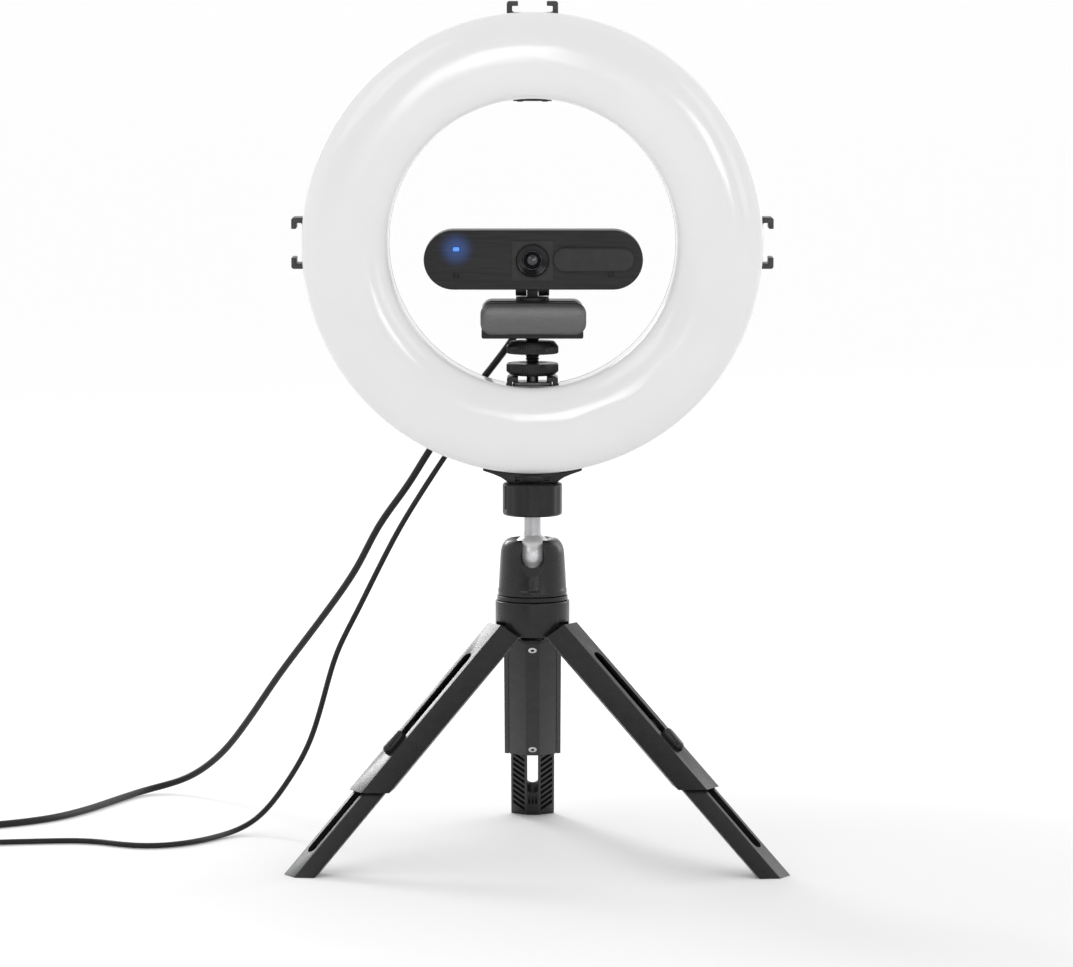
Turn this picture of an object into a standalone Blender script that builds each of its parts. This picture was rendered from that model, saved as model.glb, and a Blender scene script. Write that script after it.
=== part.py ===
"""Ring light on a mini tripod, with a webcam on its inner cold shoe.

Metres, +Z up. The light faces -Y, +X is the viewer's right, and the feet stand on Z = 0.
Every sub-part is an object of its own. Moving groups hang from an empty on their joint's axis.
"""
import math

import bmesh
import bpy
from mathutils import Matrix, Vector

MM = 0.001
GAP = 0.3 * MM          # clearance between pieces that meet

# Ring head
RING_Z = 271.0 * MM     # height of the ring's centre
RING_OUTER = 101.5 * MM
RING_INNER = 63.2 * MM
RING_MIDDLE = (RING_OUTER + RING_INNER) / 2
RING_WALL = 2.0 * MM
RING_FRONT = -13.0 * MM  # crest of the diffuser
RING_RIM = -4.0 * MM     # where diffuser and housing meet
RING_BACK = 14.0 * MM
RING_STEPS = 60

# Cold shoes
SHOE_WIDTH = 22.5 * MM
SHOE_CAVITY = 17.8 * MM
SHOE_MOUTH = 12.6 * MM
SHOE_HEIGHT = 4.36 * MM
SHOE_LIP = 2.1 * MM
SHOE_BASE = 1.9 * MM
SHOE_FRONT = -3.0 * MM
SHOE_BACK = 13.0 * MM
TOP_PLATE_HALF = 8.5 * MM

# Ball head, heights above the floor
BALL_Z = 133.6 * MM
BALL_RADIUS = 9.3 * MM
STEM_RADIUS = 3.65 * MM
STUD_RADIUS = 3.15 * MM
COLLAR_RADIUS = 13.2 * MM
COLLAR_LOW = 151.0 * MM
COLLAR_TOP = 165.2 * MM
HOUSING_LOW = 115.8 * MM

# Crown and legs
CROWN_RADIUS = 16.4 * MM
CROWN_LOW = 98.2 * MM
CROWN_TOP = 113.3 * MM
SPIGOT_RADIUS = 12.4 * MM
SPIGOT_TOP = 119.5 * MM
HINGE_REACH = 8.0 * MM   # hinge line from the tripod's axis
HINGE_Z = 106.0 * MM
# How far each leg stands open from upright
LEG_ANGLES = [math.radians(angle) for angle in (45.3, 46.5, 44.0)]
LEG_TURNS = (210.0, 330.0, 90.0)
LUG_HALF = 4.0 * MM
LUG_RADIUS = 3.5 * MM
PIN_RADIUS = 1.5 * MM
PIN_HALF = 9.0 * MM
SLEEVE_TOP = 9.7 * MM    # distances down the leg from its hinge
SLEEVE_CAP = 13.5 * MM
SLEEVE_END_Z = 33.0 * MM
SLEEVE_WALL = 1.3 * MM
SEAM_HALF = 10.6 * MM
SLIDE_TOP = 66.0 * MM
SLIDE_INSET = 1.6 * MM
BUTTON_AT = 80.0 * MM
BUTTON_HALF = 6.0 * MM
BUTTON_WIDTH = 2.5 * MM
SLOT_TOP = 27.0 * MM

# Webcam and its shoe adapter
SCREW_Y = 5.0 * MM
CLAMP_LOW = 227.9 * MM
CLAMP_TOP = 245.6 * MM
CLAMP_BACK = 13.0 * MM
JAW_HINGE = (14.9 * MM, 243.0 * MM)     # Y and Z
TILT_AXIS = (1.0 * MM, 252.0 * MM)      # Y and Z
BODY_HALF = 48.0 * MM
BODY_LOW = 250.4 * MM
BODY_TOP = 276.5 * MM
BODY_Z = (BODY_LOW + BODY_TOP) / 2
BODY_RADIUS = (BODY_TOP - BODY_LOW) / 2
PANEL_FRONT = -12.0 * MM
PANEL_BACK = -9.9 * MM
BODY_BACK = 10.0 * MM
LENS_Z = 263.9 * MM
LENS_RADIUS = 7.7 * MM
SLIDER_CENTRE = (26.9 * MM, 264.4 * MM)  # X and Z
SLIDER_TRAVEL = 17.5 * MM
LED_CENTRE = (-33.2 * MM, 269.1 * MM)     # X and Z

# Cords
WEBCAM_CORD = 3.2 * MM
LIGHT_CORD = 2.5 * MM

# The pieces below stand with the ball head's axis at X = 0, Y = 0. At the end everything moves
# forwards by this much, which puts the middle of the open tripod over the origin.
CENTRE_Y = -26.6 * MM


# ---------------------------------------------------------------- helpers

def material(name, colour, roughness, metallic=0.0, alpha=1.0):
    """A Principled material."""
    made = bpy.data.materials.new(name)
    made.use_nodes = True
    shader = made.node_tree.nodes["Principled BSDF"]
    shader.inputs["Base Color"].default_value = (*colour, 1.0)
    shader.inputs["Roughness"].default_value = roughness
    shader.inputs["Metallic"].default_value = metallic
    shader.inputs["Alpha"].default_value = alpha
    return made


def joint_frame(name, at, parent=None, turn=None):
    """An empty on a joint's axis, hung from the joint before it."""
    empty = bpy.data.objects.new(name, None)
    empty.empty_display_size = 10 * MM
    bpy.context.collection.objects.link(empty)
    empty.matrix_world = Matrix.Translation(at) @ (turn or Matrix.Identity(4))
    if parent:
        hang(empty, parent)
    return empty


def hang(piece, parent):
    """Parent a piece that is modelled in world coordinates, keeping its place."""
    bpy.context.view_layer.update()
    piece.parent = parent
    piece.matrix_parent_inverse = parent.matrix_world.inverted()


def mesh_object(name, bm, paint, frame=None, sharp=35.0):
    """Turn a bmesh into an object, hung from a joint's frame if there is one."""
    bmesh.ops.recalc_face_normals(bm, faces=bm.faces)
    mesh = bpy.data.meshes.new(name)
    bm.to_mesh(mesh)
    bm.free()
    mesh.shade_smooth()
    mesh.set_sharp_from_angle(angle=math.radians(sharp))
    piece = bpy.data.objects.new(name, mesh)
    if paint:
        mesh.materials.append(paint)
    bpy.context.collection.objects.link(piece)
    if frame:
        hang(piece, frame)
    return piece


def along(axis, u, v, h):
    """The point at u, v across an axis and h along it."""
    return {"X": Vector((h, u, v)), "Y": Vector((u, h, v)), "Z": Vector((u, v, h))}[axis]


def stitch(bm, first, second):
    """Faces between two rings of vertices, either of which may be a single point."""
    count = max(len(first), len(second))
    for k in range(count):
        corners = [first[k % len(first)], first[(k + 1) % len(first)]]
        corners += [second[(k + 1) % len(second)], second[k % len(second)]]
        unique = [v for n, v in enumerate(corners) if v not in corners[:n]]
        bm.faces.new(unique)


def turned(name, profile, paint, centre=(0, 0, 0), axis="Z", steps=36, frame=None):
    """A solid of revolution from (radius, height) points: axis to axis, or a closed loop."""
    bm = bmesh.new()
    rings = []
    for radius, height in profile:
        angles = [2 * math.pi * k / steps for k in range(steps if radius > 0 else 1)]
        spots = [along(axis, radius * math.cos(a), radius * math.sin(a), height) for a in angles]
        rings.append([bm.verts.new(p + Vector(centre)) for p in spots])
    pairs = list(zip(rings, rings[1:]))
    if profile[0][0] > 0 and profile[-1][0] > 0:
        pairs.append((rings[-1], rings[0]))
    for first, second in pairs:
        stitch(bm, first, second)
    return mesh_object(name, bm, paint, frame)


def lofted(name, loops, paint, frame=None):
    """A closed solid through loops of points, with a flat cap at each end."""
    bm = bmesh.new()
    rings = [[bm.verts.new(p) for p in loop] for loop in loops]
    for first, second in zip(rings, rings[1:]):
        stitch(bm, first, second)
    bm.faces.new(rings[0])
    bm.faces.new(rings[-1])
    return mesh_object(name, bm, paint, frame)


def extruded(name, outline, low, high, paint, axis="Y", frame=None):
    """A prism of a flat outline between two places along an axis."""
    loops = [[along(axis, u, v, h) for u, v in outline] for h in (low, high)]
    return lofted(name, loops, paint, frame)


def guide(piece):
    """Mark an object as a cutter or a tool of another piece."""
    piece.hide_render = True
    piece.display_type = "WIRE"
    return piece


def carve(piece, tool, operation="DIFFERENCE"):
    """Cut a piece with a tool, or join the tool to it."""
    step = piece.modifiers.new(tool.name, "BOOLEAN")
    step.operation = operation
    step.solver = "EXACT"
    step.object = guide(tool)


def arc(radius, start, end, steps, centre=(0, 0)):
    """Points on a circle from one angle to another, in degrees."""
    angles = [math.radians(start + (end - start) * k / steps) for k in range(steps + 1)]
    return [(centre[0] + radius * math.cos(a), centre[1] + radius * math.sin(a)) for a in angles]


def circle(radius, steps, centre=(0, 0)):
    """An evenly divided circle's outline."""
    return arc(radius, 0, 360 - 360 / steps, steps - 1, centre)


def pill(half_long, half_wide, centre=(0, 0), steps=8):
    """A slot's outline with full-round ends, long in its first coordinate."""
    reach = half_long - half_wide
    right = arc(half_wide, -90, 90, steps, (centre[0] + reach, centre[1]))
    left = arc(half_wide, 90, 270, steps, (centre[0] - reach, centre[1]))
    return right + left


def rounded_box(half_u, half_v, radius, centre=(0, 0), steps=4):
    """A rectangle's outline with rounded corners."""
    outline = []
    for turn, su, sv in ((0, 1, 1), (90, -1, 1), (180, -1, -1), (270, 1, -1)):
        corner = (centre[0] + su * (half_u - radius), centre[1] + sv * (half_v - radius))
        outline += arc(radius, turn, turn + 90, steps, corner)
    return outline


def inset(outline, distance):
    """A convex outline, listed counter-clockwise, moved inwards by a distance."""
    count = len(outline)
    lines = []
    for k in range(count):
        start, end = Vector(outline[k]), Vector(outline[(k + 1) % count])
        way = (end - start).normalized()
        lines.append((start + Vector((-way.y, way.x)) * distance, way))
    moved = []
    for k in range(count):
        (p, d), (q, e) = lines[k - 1], lines[k]
        across = d.x * e.y - d.y * e.x
        reach = ((q.x - p.x) * e.y - (q.y - p.y) * e.x) / across
        moved.append(tuple(p + d * reach))
    return moved


def smooth_route(points, spacing):
    """Even points on a smooth curve through the route's points."""
    route = [Vector(p) for p in points]
    ends = [2 * route[0] - route[1]] + route + [2 * route[-1] - route[-2]]
    fine = []
    for k in range(len(route) - 1):
        a, b, c, d = ends[k:k + 4]
        for n in range(40):
            t = n / 40
            fine.append(0.5 * (2 * b + (c - a) * t + (2 * a - 5 * b + 4 * c - d) * t * t
                               + (3 * b - a - 3 * c + d) * t ** 3))
    fine.append(route[-1])
    reach = [0.0]
    for first, second in zip(fine, fine[1:]):
        reach.append(reach[-1] + (second - first).length)
    count = max(2, round(reach[-1] / spacing))
    even, at = [], 0
    for k in range(count + 1):
        target = reach[-1] * k / count
        while at < len(fine) - 2 and reach[at + 1] < target:
            at += 1
        part = (target - reach[at]) / (reach[at + 1] - reach[at])
        even.append(fine[at].lerp(fine[at + 1], part))
    return even


def cord_tube(name, points, diameter, paint):
    """A cord along its route, as a round tube with filled ends."""
    data = bpy.data.curves.new(name, "CURVE")
    data.dimensions = "3D"
    data.bevel_depth = diameter / 2
    data.bevel_resolution = 2
    data.use_fill_caps = True
    even = smooth_route([[c * MM for c in point] for point in points], 2.6 * diameter)
    spline = data.splines.new("POLY")
    spline.points.add(len(even) - 1)
    for spot, place in zip(spline.points, even):
        spot.co = (*place, 1.0)
    data.materials.append(paint)
    piece = bpy.data.objects.new(name, data)
    bpy.context.collection.objects.link(piece)
    return piece


# ---------------------------------------------------------------- ring head

def bulge(inner, outer, rim, crest, steps):
    """The diffuser's domed section from its outer to its inner edge."""
    half = (outer - inner) / 2
    points = []
    for k in range(steps + 1):
        across = math.cos(math.pi * k / steps)
        rise = (1 - abs(across) ** 2.4) ** (1 / 2.4)
        points.append((RING_MIDDLE + half * across, rim + (crest - rim) * rise))
    return points


def make_diffuser(paint, frame):
    outer = RING_OUTER - GAP
    inner = RING_INNER + GAP
    back = RING_RIM - GAP
    shell = bulge(inner, outer, RING_RIM - 1.6 * MM, RING_FRONT, 8)
    crest = RING_FRONT + RING_WALL
    hollow = bulge(inner + RING_WALL, outer - RING_WALL, RING_RIM - 1.8 * MM, crest, 5)
    profile = [(outer, back)] + shell + [(inner, back), (inner + RING_WALL, back)]
    profile += hollow[::-1] + [(outer - RING_WALL, back)]
    return turned("front_diffuser", profile, paint, (0, 0, RING_Z), "Y", RING_STEPS, frame)


def make_rear_housing(paint, frame):
    outer, inner, back = RING_OUTER, RING_INNER, RING_BACK
    wall = RING_WALL
    profile = [
        (outer, RING_RIM), (outer, back - 4.0 * MM), (outer - 1.2 * MM, back - 1.2 * MM),
        (outer - 4.0 * MM, back), (inner + 4.0 * MM, back), (inner + 1.2 * MM, back - 1.2 * MM),
        (inner, back - 4.0 * MM), (inner, RING_RIM), (inner + wall, RING_RIM),
        (inner + wall, back - 4.5 * MM), (inner + 4.6 * MM, back - wall),
        (outer - 4.6 * MM, back - wall), (outer - wall, back - 4.5 * MM), (outer - wall, RING_RIM),
    ]
    pan = turned("rear_housing", profile, paint, (0, 0, RING_Z), "Y", RING_STEPS, frame)
    shoe = SHOE_WIDTH / 2
    seats = ((0, 1, shoe), (90, 1, shoe), (-90, 1, shoe), (180, -1, shoe), (0, -1, TOP_PLATE_HALF))
    for turn, side, half in seats:
        carve(pan, shoe_window(turn, side, half + GAP))
    return pan


def shoe_place(turn, side):
    """From a shoe's own frame (across, depth, outward) to the ring: side 1 outer rim, -1 inner."""
    spin = Matrix.Translation((0, 0, RING_Z)) @ Matrix.Rotation(math.radians(turn), 4, "Y")
    radius = RING_OUTER if side > 0 else RING_INNER
    face = Matrix.Translation((0, 0, radius))
    if side < 0:
        face = face @ Matrix.Rotation(math.pi, 4, "Y")
    return spin @ face


def place_in_ring(piece, turn, side):
    piece.data.transform(shoe_place(turn, side))
    return piece


def shoe_window(turn, side, half):
    """The opening in the housing's wall that a shoe's base fills."""
    low = -(SHOE_BASE + GAP)
    outline = [(-half, low), (half, low), (half, 5 * MM), (-half, 5 * MM)]
    window = extruded("shoe_window", outline, SHOE_FRONT - GAP, SHOE_BACK + GAP, None)
    return place_in_ring(window, turn, side)


def make_shoe(name, turn, side, paint, frame):
    """A cold shoe: a flat base and two rails whose lips reach over the cavity."""
    half, cavity, mouth = SHOE_WIDTH / 2, SHOE_CAVITY / 2, SHOE_MOUTH / 2
    under = SHOE_HEIGHT - SHOE_LIP
    round_off = 0.9 * MM
    right = [(half, -SHOE_BASE)]
    right += arc(round_off, 0, 90, 3, (half - round_off, SHOE_HEIGHT - round_off))
    right += [(mouth, SHOE_HEIGHT), (mouth, under), (cavity, under), (cavity, 0.0)]
    left = [(-u, v) for u, v in reversed(right)]
    shoe = extruded(name, right + left, SHOE_FRONT, SHOE_BACK, paint, "Y", frame)
    return place_in_ring(shoe, turn, side)


def make_top_plate(paint, frame):
    """The backing plate of the top shoe, seen as a flat on the inner rim."""
    half = TOP_PLATE_HALF
    outline = [(-half, -SHOE_BASE), (half, -SHOE_BASE), (half, 0.9 * MM), (-half, 0.9 * MM)]
    plate = extruded("top_plate", outline, SHOE_FRONT, SHOE_BACK, paint, "Y", frame)
    return place_in_ring(plate, 0, -1)


def make_led_board(paint, frame):
    outer = RING_OUTER - 3.8 * MM
    inner = RING_INNER + 3.8 * MM
    profile = [(outer, 2.0 * MM), (outer, 3.6 * MM), (inner, 3.6 * MM), (inner, 2.0 * MM)]
    return turned("led_board", profile, paint, (0, 0, RING_Z), "Y", 36, frame)


def make_lower_bracket(paint, frame):
    """The flared block between the ring's rim and the collar, with two small windows."""
    seat = RING_OUTER + GAP
    half = 21.9 * MM
    swing = math.degrees(math.asin(half / seat))
    top = arc(seat, -90 - swing, -90 + swing, 10, (0, RING_Z))
    right = [(21.6, 170.8), (17.4, 169.4), (13.9, 167.9), (11.7, 166.4), (11.0, 165.5)]
    side = [(u * MM, v * MM) for u, v in right]
    outline = top + side + [(-u, v) for u, v in reversed(side)]
    block = extruded("lower_bracket", outline, -3.8 * MM, 12.0 * MM, paint, "Y", frame)
    for left, far in ((-7.7, -5.4), (5.0, 7.4)):
        corners = [(left, 166.3), (far, 166.3), (far, 168.0), (left, 168.0)]
        hole = [(u * MM, v * MM) for u, v in corners]
        carve(block, extruded("bracket_window", hole, -6 * MM, 14 * MM, None))
    return block


def make_mount_collar(paint, frame):
    top, low, radius = COLLAR_TOP, COLLAR_LOW, COLLAR_RADIUS
    bore = 5.1 * MM
    profile = [(0, top), (radius - 1.0 * MM, top), (radius, top - 1.0 * MM), (radius, low + 0.6 * MM),
               (radius - 0.6 * MM, low), (bore, low), (bore, low + 12.5 * MM), (0, low + 12.5 * MM)]
    return turned("mount_collar", profile, paint, frame=frame, steps=32)


def make_thread_insert(paint, frame):
    low, high = COLLAR_LOW + 0.2 * MM, COLLAR_LOW + 12.2 * MM
    profile = [(4.8 * MM, low), (4.8 * MM, high), (3.5 * MM, high), (3.5 * MM, low)]
    return turned("thread_insert", profile, paint, frame=frame, steps=20)


def relief(name, centre, length, paint, frame, thick, thin):
    """A tapered strain relief that sticks out backwards along +Y from its centre."""
    profile = [(0, 0), (thick + 1.0 * MM, 0), (thick + 1.0 * MM, 1.4 * MM), (thick, 1.8 * MM),
               (thin, length), (0, length)]
    return turned(name, profile, paint, centre, "Y", 16, frame)


# ---------------------------------------------------------------- ball head

def make_ball_stem(paint, frame):
    """Ball, polished stem and threaded stud in one turned piece."""
    root = math.degrees(math.acos(STEM_RADIUS / BALL_RADIUS))
    steps = 10
    ball = []
    for k in range(steps):
        angle = math.radians(root + (-90 - root) * k / steps)
        ball.append((BALL_RADIUS * math.cos(angle), BALL_Z + BALL_RADIUS * math.sin(angle)))
    top = COLLAR_LOW + 11.6 * MM
    profile = [(0, top), (STUD_RADIUS - 0.6 * MM, top), (STUD_RADIUS, top - 0.6 * MM),
               (STUD_RADIUS, COLLAR_LOW - 0.1 * MM), (STEM_RADIUS, COLLAR_LOW - 0.6 * MM)]
    profile += ball + [(0, BALL_Z - BALL_RADIUS)]
    return turned("ball_stem", profile, paint, frame=frame, steps=24)


def socket_points(radius, low, high, steps):
    """The hollow round the ball between two heights above its centre, from high to low."""
    heights = [high + (low - high) * k / steps for k in range(steps + 1)]
    return [(math.sqrt(radius ** 2 - h ** 2), BALL_Z + h) for h in heights]


def make_ball_housing(paint, frame):
    """The clamp sleeve round the ball, with its stem notch at the front."""
    outer = [(15.2, 115.8), (15.2, 118.4), (14.1, 134.5), (13.4, 136.4), (11.3, 140.1), (11.0, 140.5),
             (9.9, 140.5)]
    bore = [(9.7, 120.0), (12.7, 119.8), (12.7, 115.8)]
    profile = [(r * MM, z * MM) for r, z in outer]
    profile += socket_points(BALL_RADIUS + GAP, 0.0, 5.2 * MM, 4)
    profile += [(r * MM, z * MM) for r, z in bore]
    sleeve = turned("ball_housing", profile, paint, frame=frame, steps=40)
    clear = 145 * MM
    for half, floor, inner in ((4.05 * MM, 133.3 * MM, 0.0), (5.35 * MM, 132.75 * MM, -13.4 * MM)):
        outline = [(half, clear), (-half, clear)] + arc(half, 180, 360, 8, (0, floor))
        carve(sleeve, extruded("stem_notch", outline, -20 * MM, inner, None))
    return sleeve


def make_ball_seat(paint, frame):
    """The cup under the ball."""
    cup = socket_points(BALL_RADIUS + GAP, -9.55 * MM, -4.6 * MM, 4)
    profile = [(0, BALL_Z - BALL_RADIUS - GAP)] + cup[::-1]
    profile += [(9.35 * MM, 129.0 * MM), (9.35 * MM, 120.2 * MM), (0, 120.2 * MM)]
    return turned("ball_seat", profile, paint, frame=frame, steps=24)


def make_lock_washer(paint):
    low, high = CROWN_TOP + GAP, HOUSING_LOW - GAP
    profile = [(15.6 * MM, low), (15.6 * MM, high), (12.8 * MM, high), (12.8 * MM, low)]
    return turned("lock_washer", profile, paint, steps=32)


def leg_turn(turn):
    """A leg's heading: its frame has X along the hinge line and Y outwards."""
    return Matrix.Rotation(math.radians(turn - 90.0), 4, "Z")


def hinge_place(turn):
    """The middle of a leg's hinge line."""
    return leg_turn(turn) @ Vector((0, HINGE_REACH, HINGE_Z))


def make_crown(paint):
    """The hub: three radial slots for the leg lugs, its lower edge cut square to the open legs."""
    radius, low, top = CROWN_RADIUS, CROWN_LOW, CROWN_TOP
    bore = 2.1 * MM
    profile = [(bore, low), (radius - 0.6 * MM, low), (radius, low + 0.6 * MM), (radius, top - 0.6 * MM),
               (radius - 0.6 * MM, top), (SPIGOT_RADIUS, top), (SPIGOT_RADIUS, SPIGOT_TOP),
               (4.0 * MM, SPIGOT_TOP), (4.0 * MM, SPIGOT_TOP - 3.0 * MM), (bore, SPIGOT_TOP - 3.0 * MM)]
    crown = turned("crown", profile, paint, steps=40)
    half = LUG_HALF + GAP
    room = LUG_RADIUS + 0.4 * MM
    slot = [(-3.8 * MM, -11 * MM), (10 * MM, -11 * MM), (10 * MM, 0.8 * MM)] + arc(room, 12, 167, 8)
    slot.append((-3.8 * MM, 0.4 * MM))
    for turn, angle in zip(LEG_TURNS, LEG_ANGLES):
        place = Matrix.Translation(hinge_place(turn)) @ leg_turn(turn)
        tilted = place @ Matrix.Rotation(angle, 4, "X")
        edge = SLEEVE_TOP - GAP
        block = [(-30 * MM, -60 * MM), (30 * MM, -60 * MM), (30 * MM, -edge), (-30 * MM, -edge)]
        plane = extruded("leg_clearance", block, -30 * MM, 30 * MM, None, "X")
        plane.data.transform(tilted)
        groove = extruded("lug_slot", slot, -half, half, None, "X")
        groove.data.transform(place)
        reach = PIN_HALF + GAP
        hole = extruded("pin_bore", circle(PIN_RADIUS + GAP, 16), -reach, reach, None, "X")
        hole.data.transform(place)
        for tool in (plane, groove, hole):
            carve(crown, tool)
    return crown


def make_crown_bolt(paint):
    head = SPIGOT_TOP - 0.2 * MM
    profile = [(0, head), (3.6 * MM, head), (3.6 * MM, head - 2.5 * MM), (1.75 * MM, head - 2.5 * MM),
               (1.75 * MM, CROWN_LOW + 0.4 * MM), (0, CROWN_LOW + 0.4 * MM)]
    return turned("crown_bolt", profile, paint, steps=20)


# ---------------------------------------------------------------- legs

LEG_SECTION = [(-3.1 * MM, -6.2 * MM), (3.1 * MM, -6.2 * MM), (12.8 * MM, -0.6 * MM),
               (5.5 * MM, 6.3 * MM), (-5.5 * MM, 6.3 * MM), (-12.8 * MM, -0.6 * MM)]


def down_to(level, across, angle):
    """How far down an open leg a line at this distance from the hinge plane meets a level."""
    return (HINGE_Z - level + across * math.sin(angle)) / math.cos(angle)


def sleeve_end(angle):
    """The level where a sleeve ends: all three are as long as the rear one."""
    return HINGE_Z - (HINGE_Z - SLEEVE_END_Z) * math.cos(angle) / math.cos(LEG_ANGLES[2])


def leg_prism(name, outline, top, level, angle, paint):
    """A leg profile from a square top to an end that lies level when the leg is open."""
    upper = [Vector((u, v, -top)) for u, v in outline]
    lower = [Vector((u, v, -down_to(level, v, angle))) for u, v in outline]
    return lofted(name, [upper, lower], paint)


def leg_slot(name, half_wide, top, bottom, near, far):
    """A long hole with round ends, cut across the leg from near to far."""
    middle = -(top + bottom) / 2
    outline = [(v, u) for u, v in pill((bottom - top) / 2, half_wide, (middle, 0))]
    return extruded(name, outline, near, far, None)


def make_sleeve(name, angle, paint):
    sleeve = leg_prism(name, LEG_SECTION, SLEEVE_TOP, sleeve_end(angle), angle, paint)
    seam = SEAM_HALF + GAP
    inner = inset(LEG_SECTION, SLEEVE_WALL)
    brink = -0.2 * MM
    corner, top = inner[2], inner[3]
    reach = corner[0] + (top[0] - corner[0]) * (brink - corner[1]) / (top[1] - corner[1])
    room = [(-seam, -11 * MM), (seam, -11 * MM), (seam, brink), (reach, brink), top,
            (-top[0], top[1]), (-reach, brink), (-seam, brink)]
    carve(sleeve, leg_prism(name + "_room", room, SLEEVE_CAP, -20 * MM, angle, None))
    slot_end = BUTTON_AT + BUTTON_HALF + GAP
    carve(sleeve, leg_slot(name + "_slot", BUTTON_WIDTH + GAP, SLOT_TOP, slot_end, 3.6 * MM, 8 * MM))
    lug = [(2.4 * MM, -10.6 * MM), (2.4 * MM, -2.5 * MM)] + arc(LUG_RADIUS, -46, 193, 12)
    lug += [(-3.4 * MM, -2.5 * MM), (-3.4 * MM, -10.6 * MM)]
    carve(sleeve, extruded(name + "_lug", lug, -LUG_HALF, LUG_HALF, None, "X"), "UNION")
    bore = circle(PIN_RADIUS + GAP, 16)
    carve(sleeve, extruded(name + "_bore", bore, -6 * MM, 6 * MM, None, "X"))
    return sleeve


def make_cover(name, angle, paint):
    """The plate that closes the inner side of the sleeve."""
    thick = 1.0 * MM
    slope = (LEG_SECTION[2][1] - LEG_SECTION[1][1]) / (LEG_SECTION[2][0] - LEG_SECTION[1][0])
    flat, base = LEG_SECTION[1]
    edge = base + (SEAM_HALF - flat) * slope
    lift = thick * math.sqrt(1 + slope ** 2)
    bend = flat - (lift - thick) / slope
    outline = [(-flat, base), (flat, base), (SEAM_HALF, edge), (SEAM_HALF, edge + lift),
               (bend, base + thick), (-bend, base + thick), (-SEAM_HALF, edge + lift), (-SEAM_HALF, edge)]
    return leg_prism(name, outline, SLEEVE_CAP + GAP, sleeve_end(angle), angle, paint)


def make_slide(name, angle, paint):
    """The inner leg: a through slot, and a groove down its outer face that holds the button."""
    section = inset(LEG_SECTION, SLIDE_INSET)
    slide = leg_prism(name, section, SLIDE_TOP, 0.0, angle, paint)
    carve(slide, leg_slot(name + "_slot", 2.45 * MM, 92 * MM, 126 * MM, -8 * MM, 8 * MM))
    groove = BUTTON_WIDTH + GAP
    carve(slide, leg_slot(name + "_groove", groove, 70 * MM, 141.5 * MM, 1.7 * MM, 8 * MM))
    return slide


def make_button(name, paint):
    """The release button: a round-ended stud with a crowned top."""
    loops = []
    for height, shrink in ((3.4, 0.0), (7.8, 0.0), (8.8, 0.5), (9.3, 1.4)):
        outline = pill(BUTTON_HALF - shrink * MM, BUTTON_WIDTH - shrink * MM, (-BUTTON_AT, 0), 6)
        loops.append([Vector((v, height * MM, u)) for u, v in outline])
    return lofted(name, loops, paint)


def make_leg(number, turn, angle, paints):
    """One leg, modelled in the frame of its hinge with the leg down -Z, then hung there."""
    name = f"leg_{number}_"
    others = set(bpy.data.objects)
    make_sleeve(name + "sleeve", angle, paints["leg"])
    make_cover(name + "cover", angle, paints["cover"])
    make_slide(name + "slide", angle, paints["slide"])
    make_button(name + "button", paints["button"])
    pin = [(0, -PIN_HALF), (PIN_RADIUS, -PIN_HALF), (PIN_RADIUS, PIN_HALF), (0, PIN_HALF)]
    turned(name + "pin", pin, paints["steel"], axis="X", steps=16)
    open_out = leg_turn(turn) @ Matrix.Rotation(angle, 4, "X")
    hinge = joint_frame(name + "fold", hinge_place(turn), turn=open_out)
    for piece in set(bpy.data.objects) - others - {hinge}:
        piece.parent = hinge


# ---------------------------------------------------------------- webcam

# Radius and height, in mm
KNOB_PROFILE = [(3.5, 212.5), (9.4, 212.5), (11.3, 214.0), (11.5, 214.3), (11.5, 217.3), (11.1, 217.9),
                (3.5, 217.9)]
DISC_PROFILE = [(3.5, 222.1), (11.2, 222.1), (11.5, 222.4), (11.5, 225.4), (9.8, 227.4), (3.5, 227.6)]


def make_adapter_foot(paint, frame):
    """The shoe foot with its 1/4 inch screw."""
    floor = RING_Z - RING_INNER
    outline = rounded_box(8.6 * MM, 8.0 * MM, 1.5 * MM, (0, SCREW_Y), 3)
    foot = extruded("adapter_foot", outline, floor + GAP, floor + 1.95 * MM, paint, "Z", frame)
    low = floor + 1.0 * MM
    stud = [(0, low), (2.6 * MM, low), (2.6 * MM, 212.6 * MM), (3.1 * MM, 213.0 * MM),
            (3.1 * MM, 233.0 * MM), (2.6 * MM, 233.5 * MM), (0, 233.5 * MM)]
    carve(foot, turned("adapter_stud", stud, None, (0, SCREW_Y, 0), steps=20, frame=frame), "UNION")
    return foot


def make_wheel(name, profile, paint, frame):
    """A knurled wheel round the adapter's screw."""
    points = [(r * MM, z * MM) for r, z in profile]
    return turned(name, points, paint, (0, SCREW_Y, 0), steps=28, frame=frame)


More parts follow.
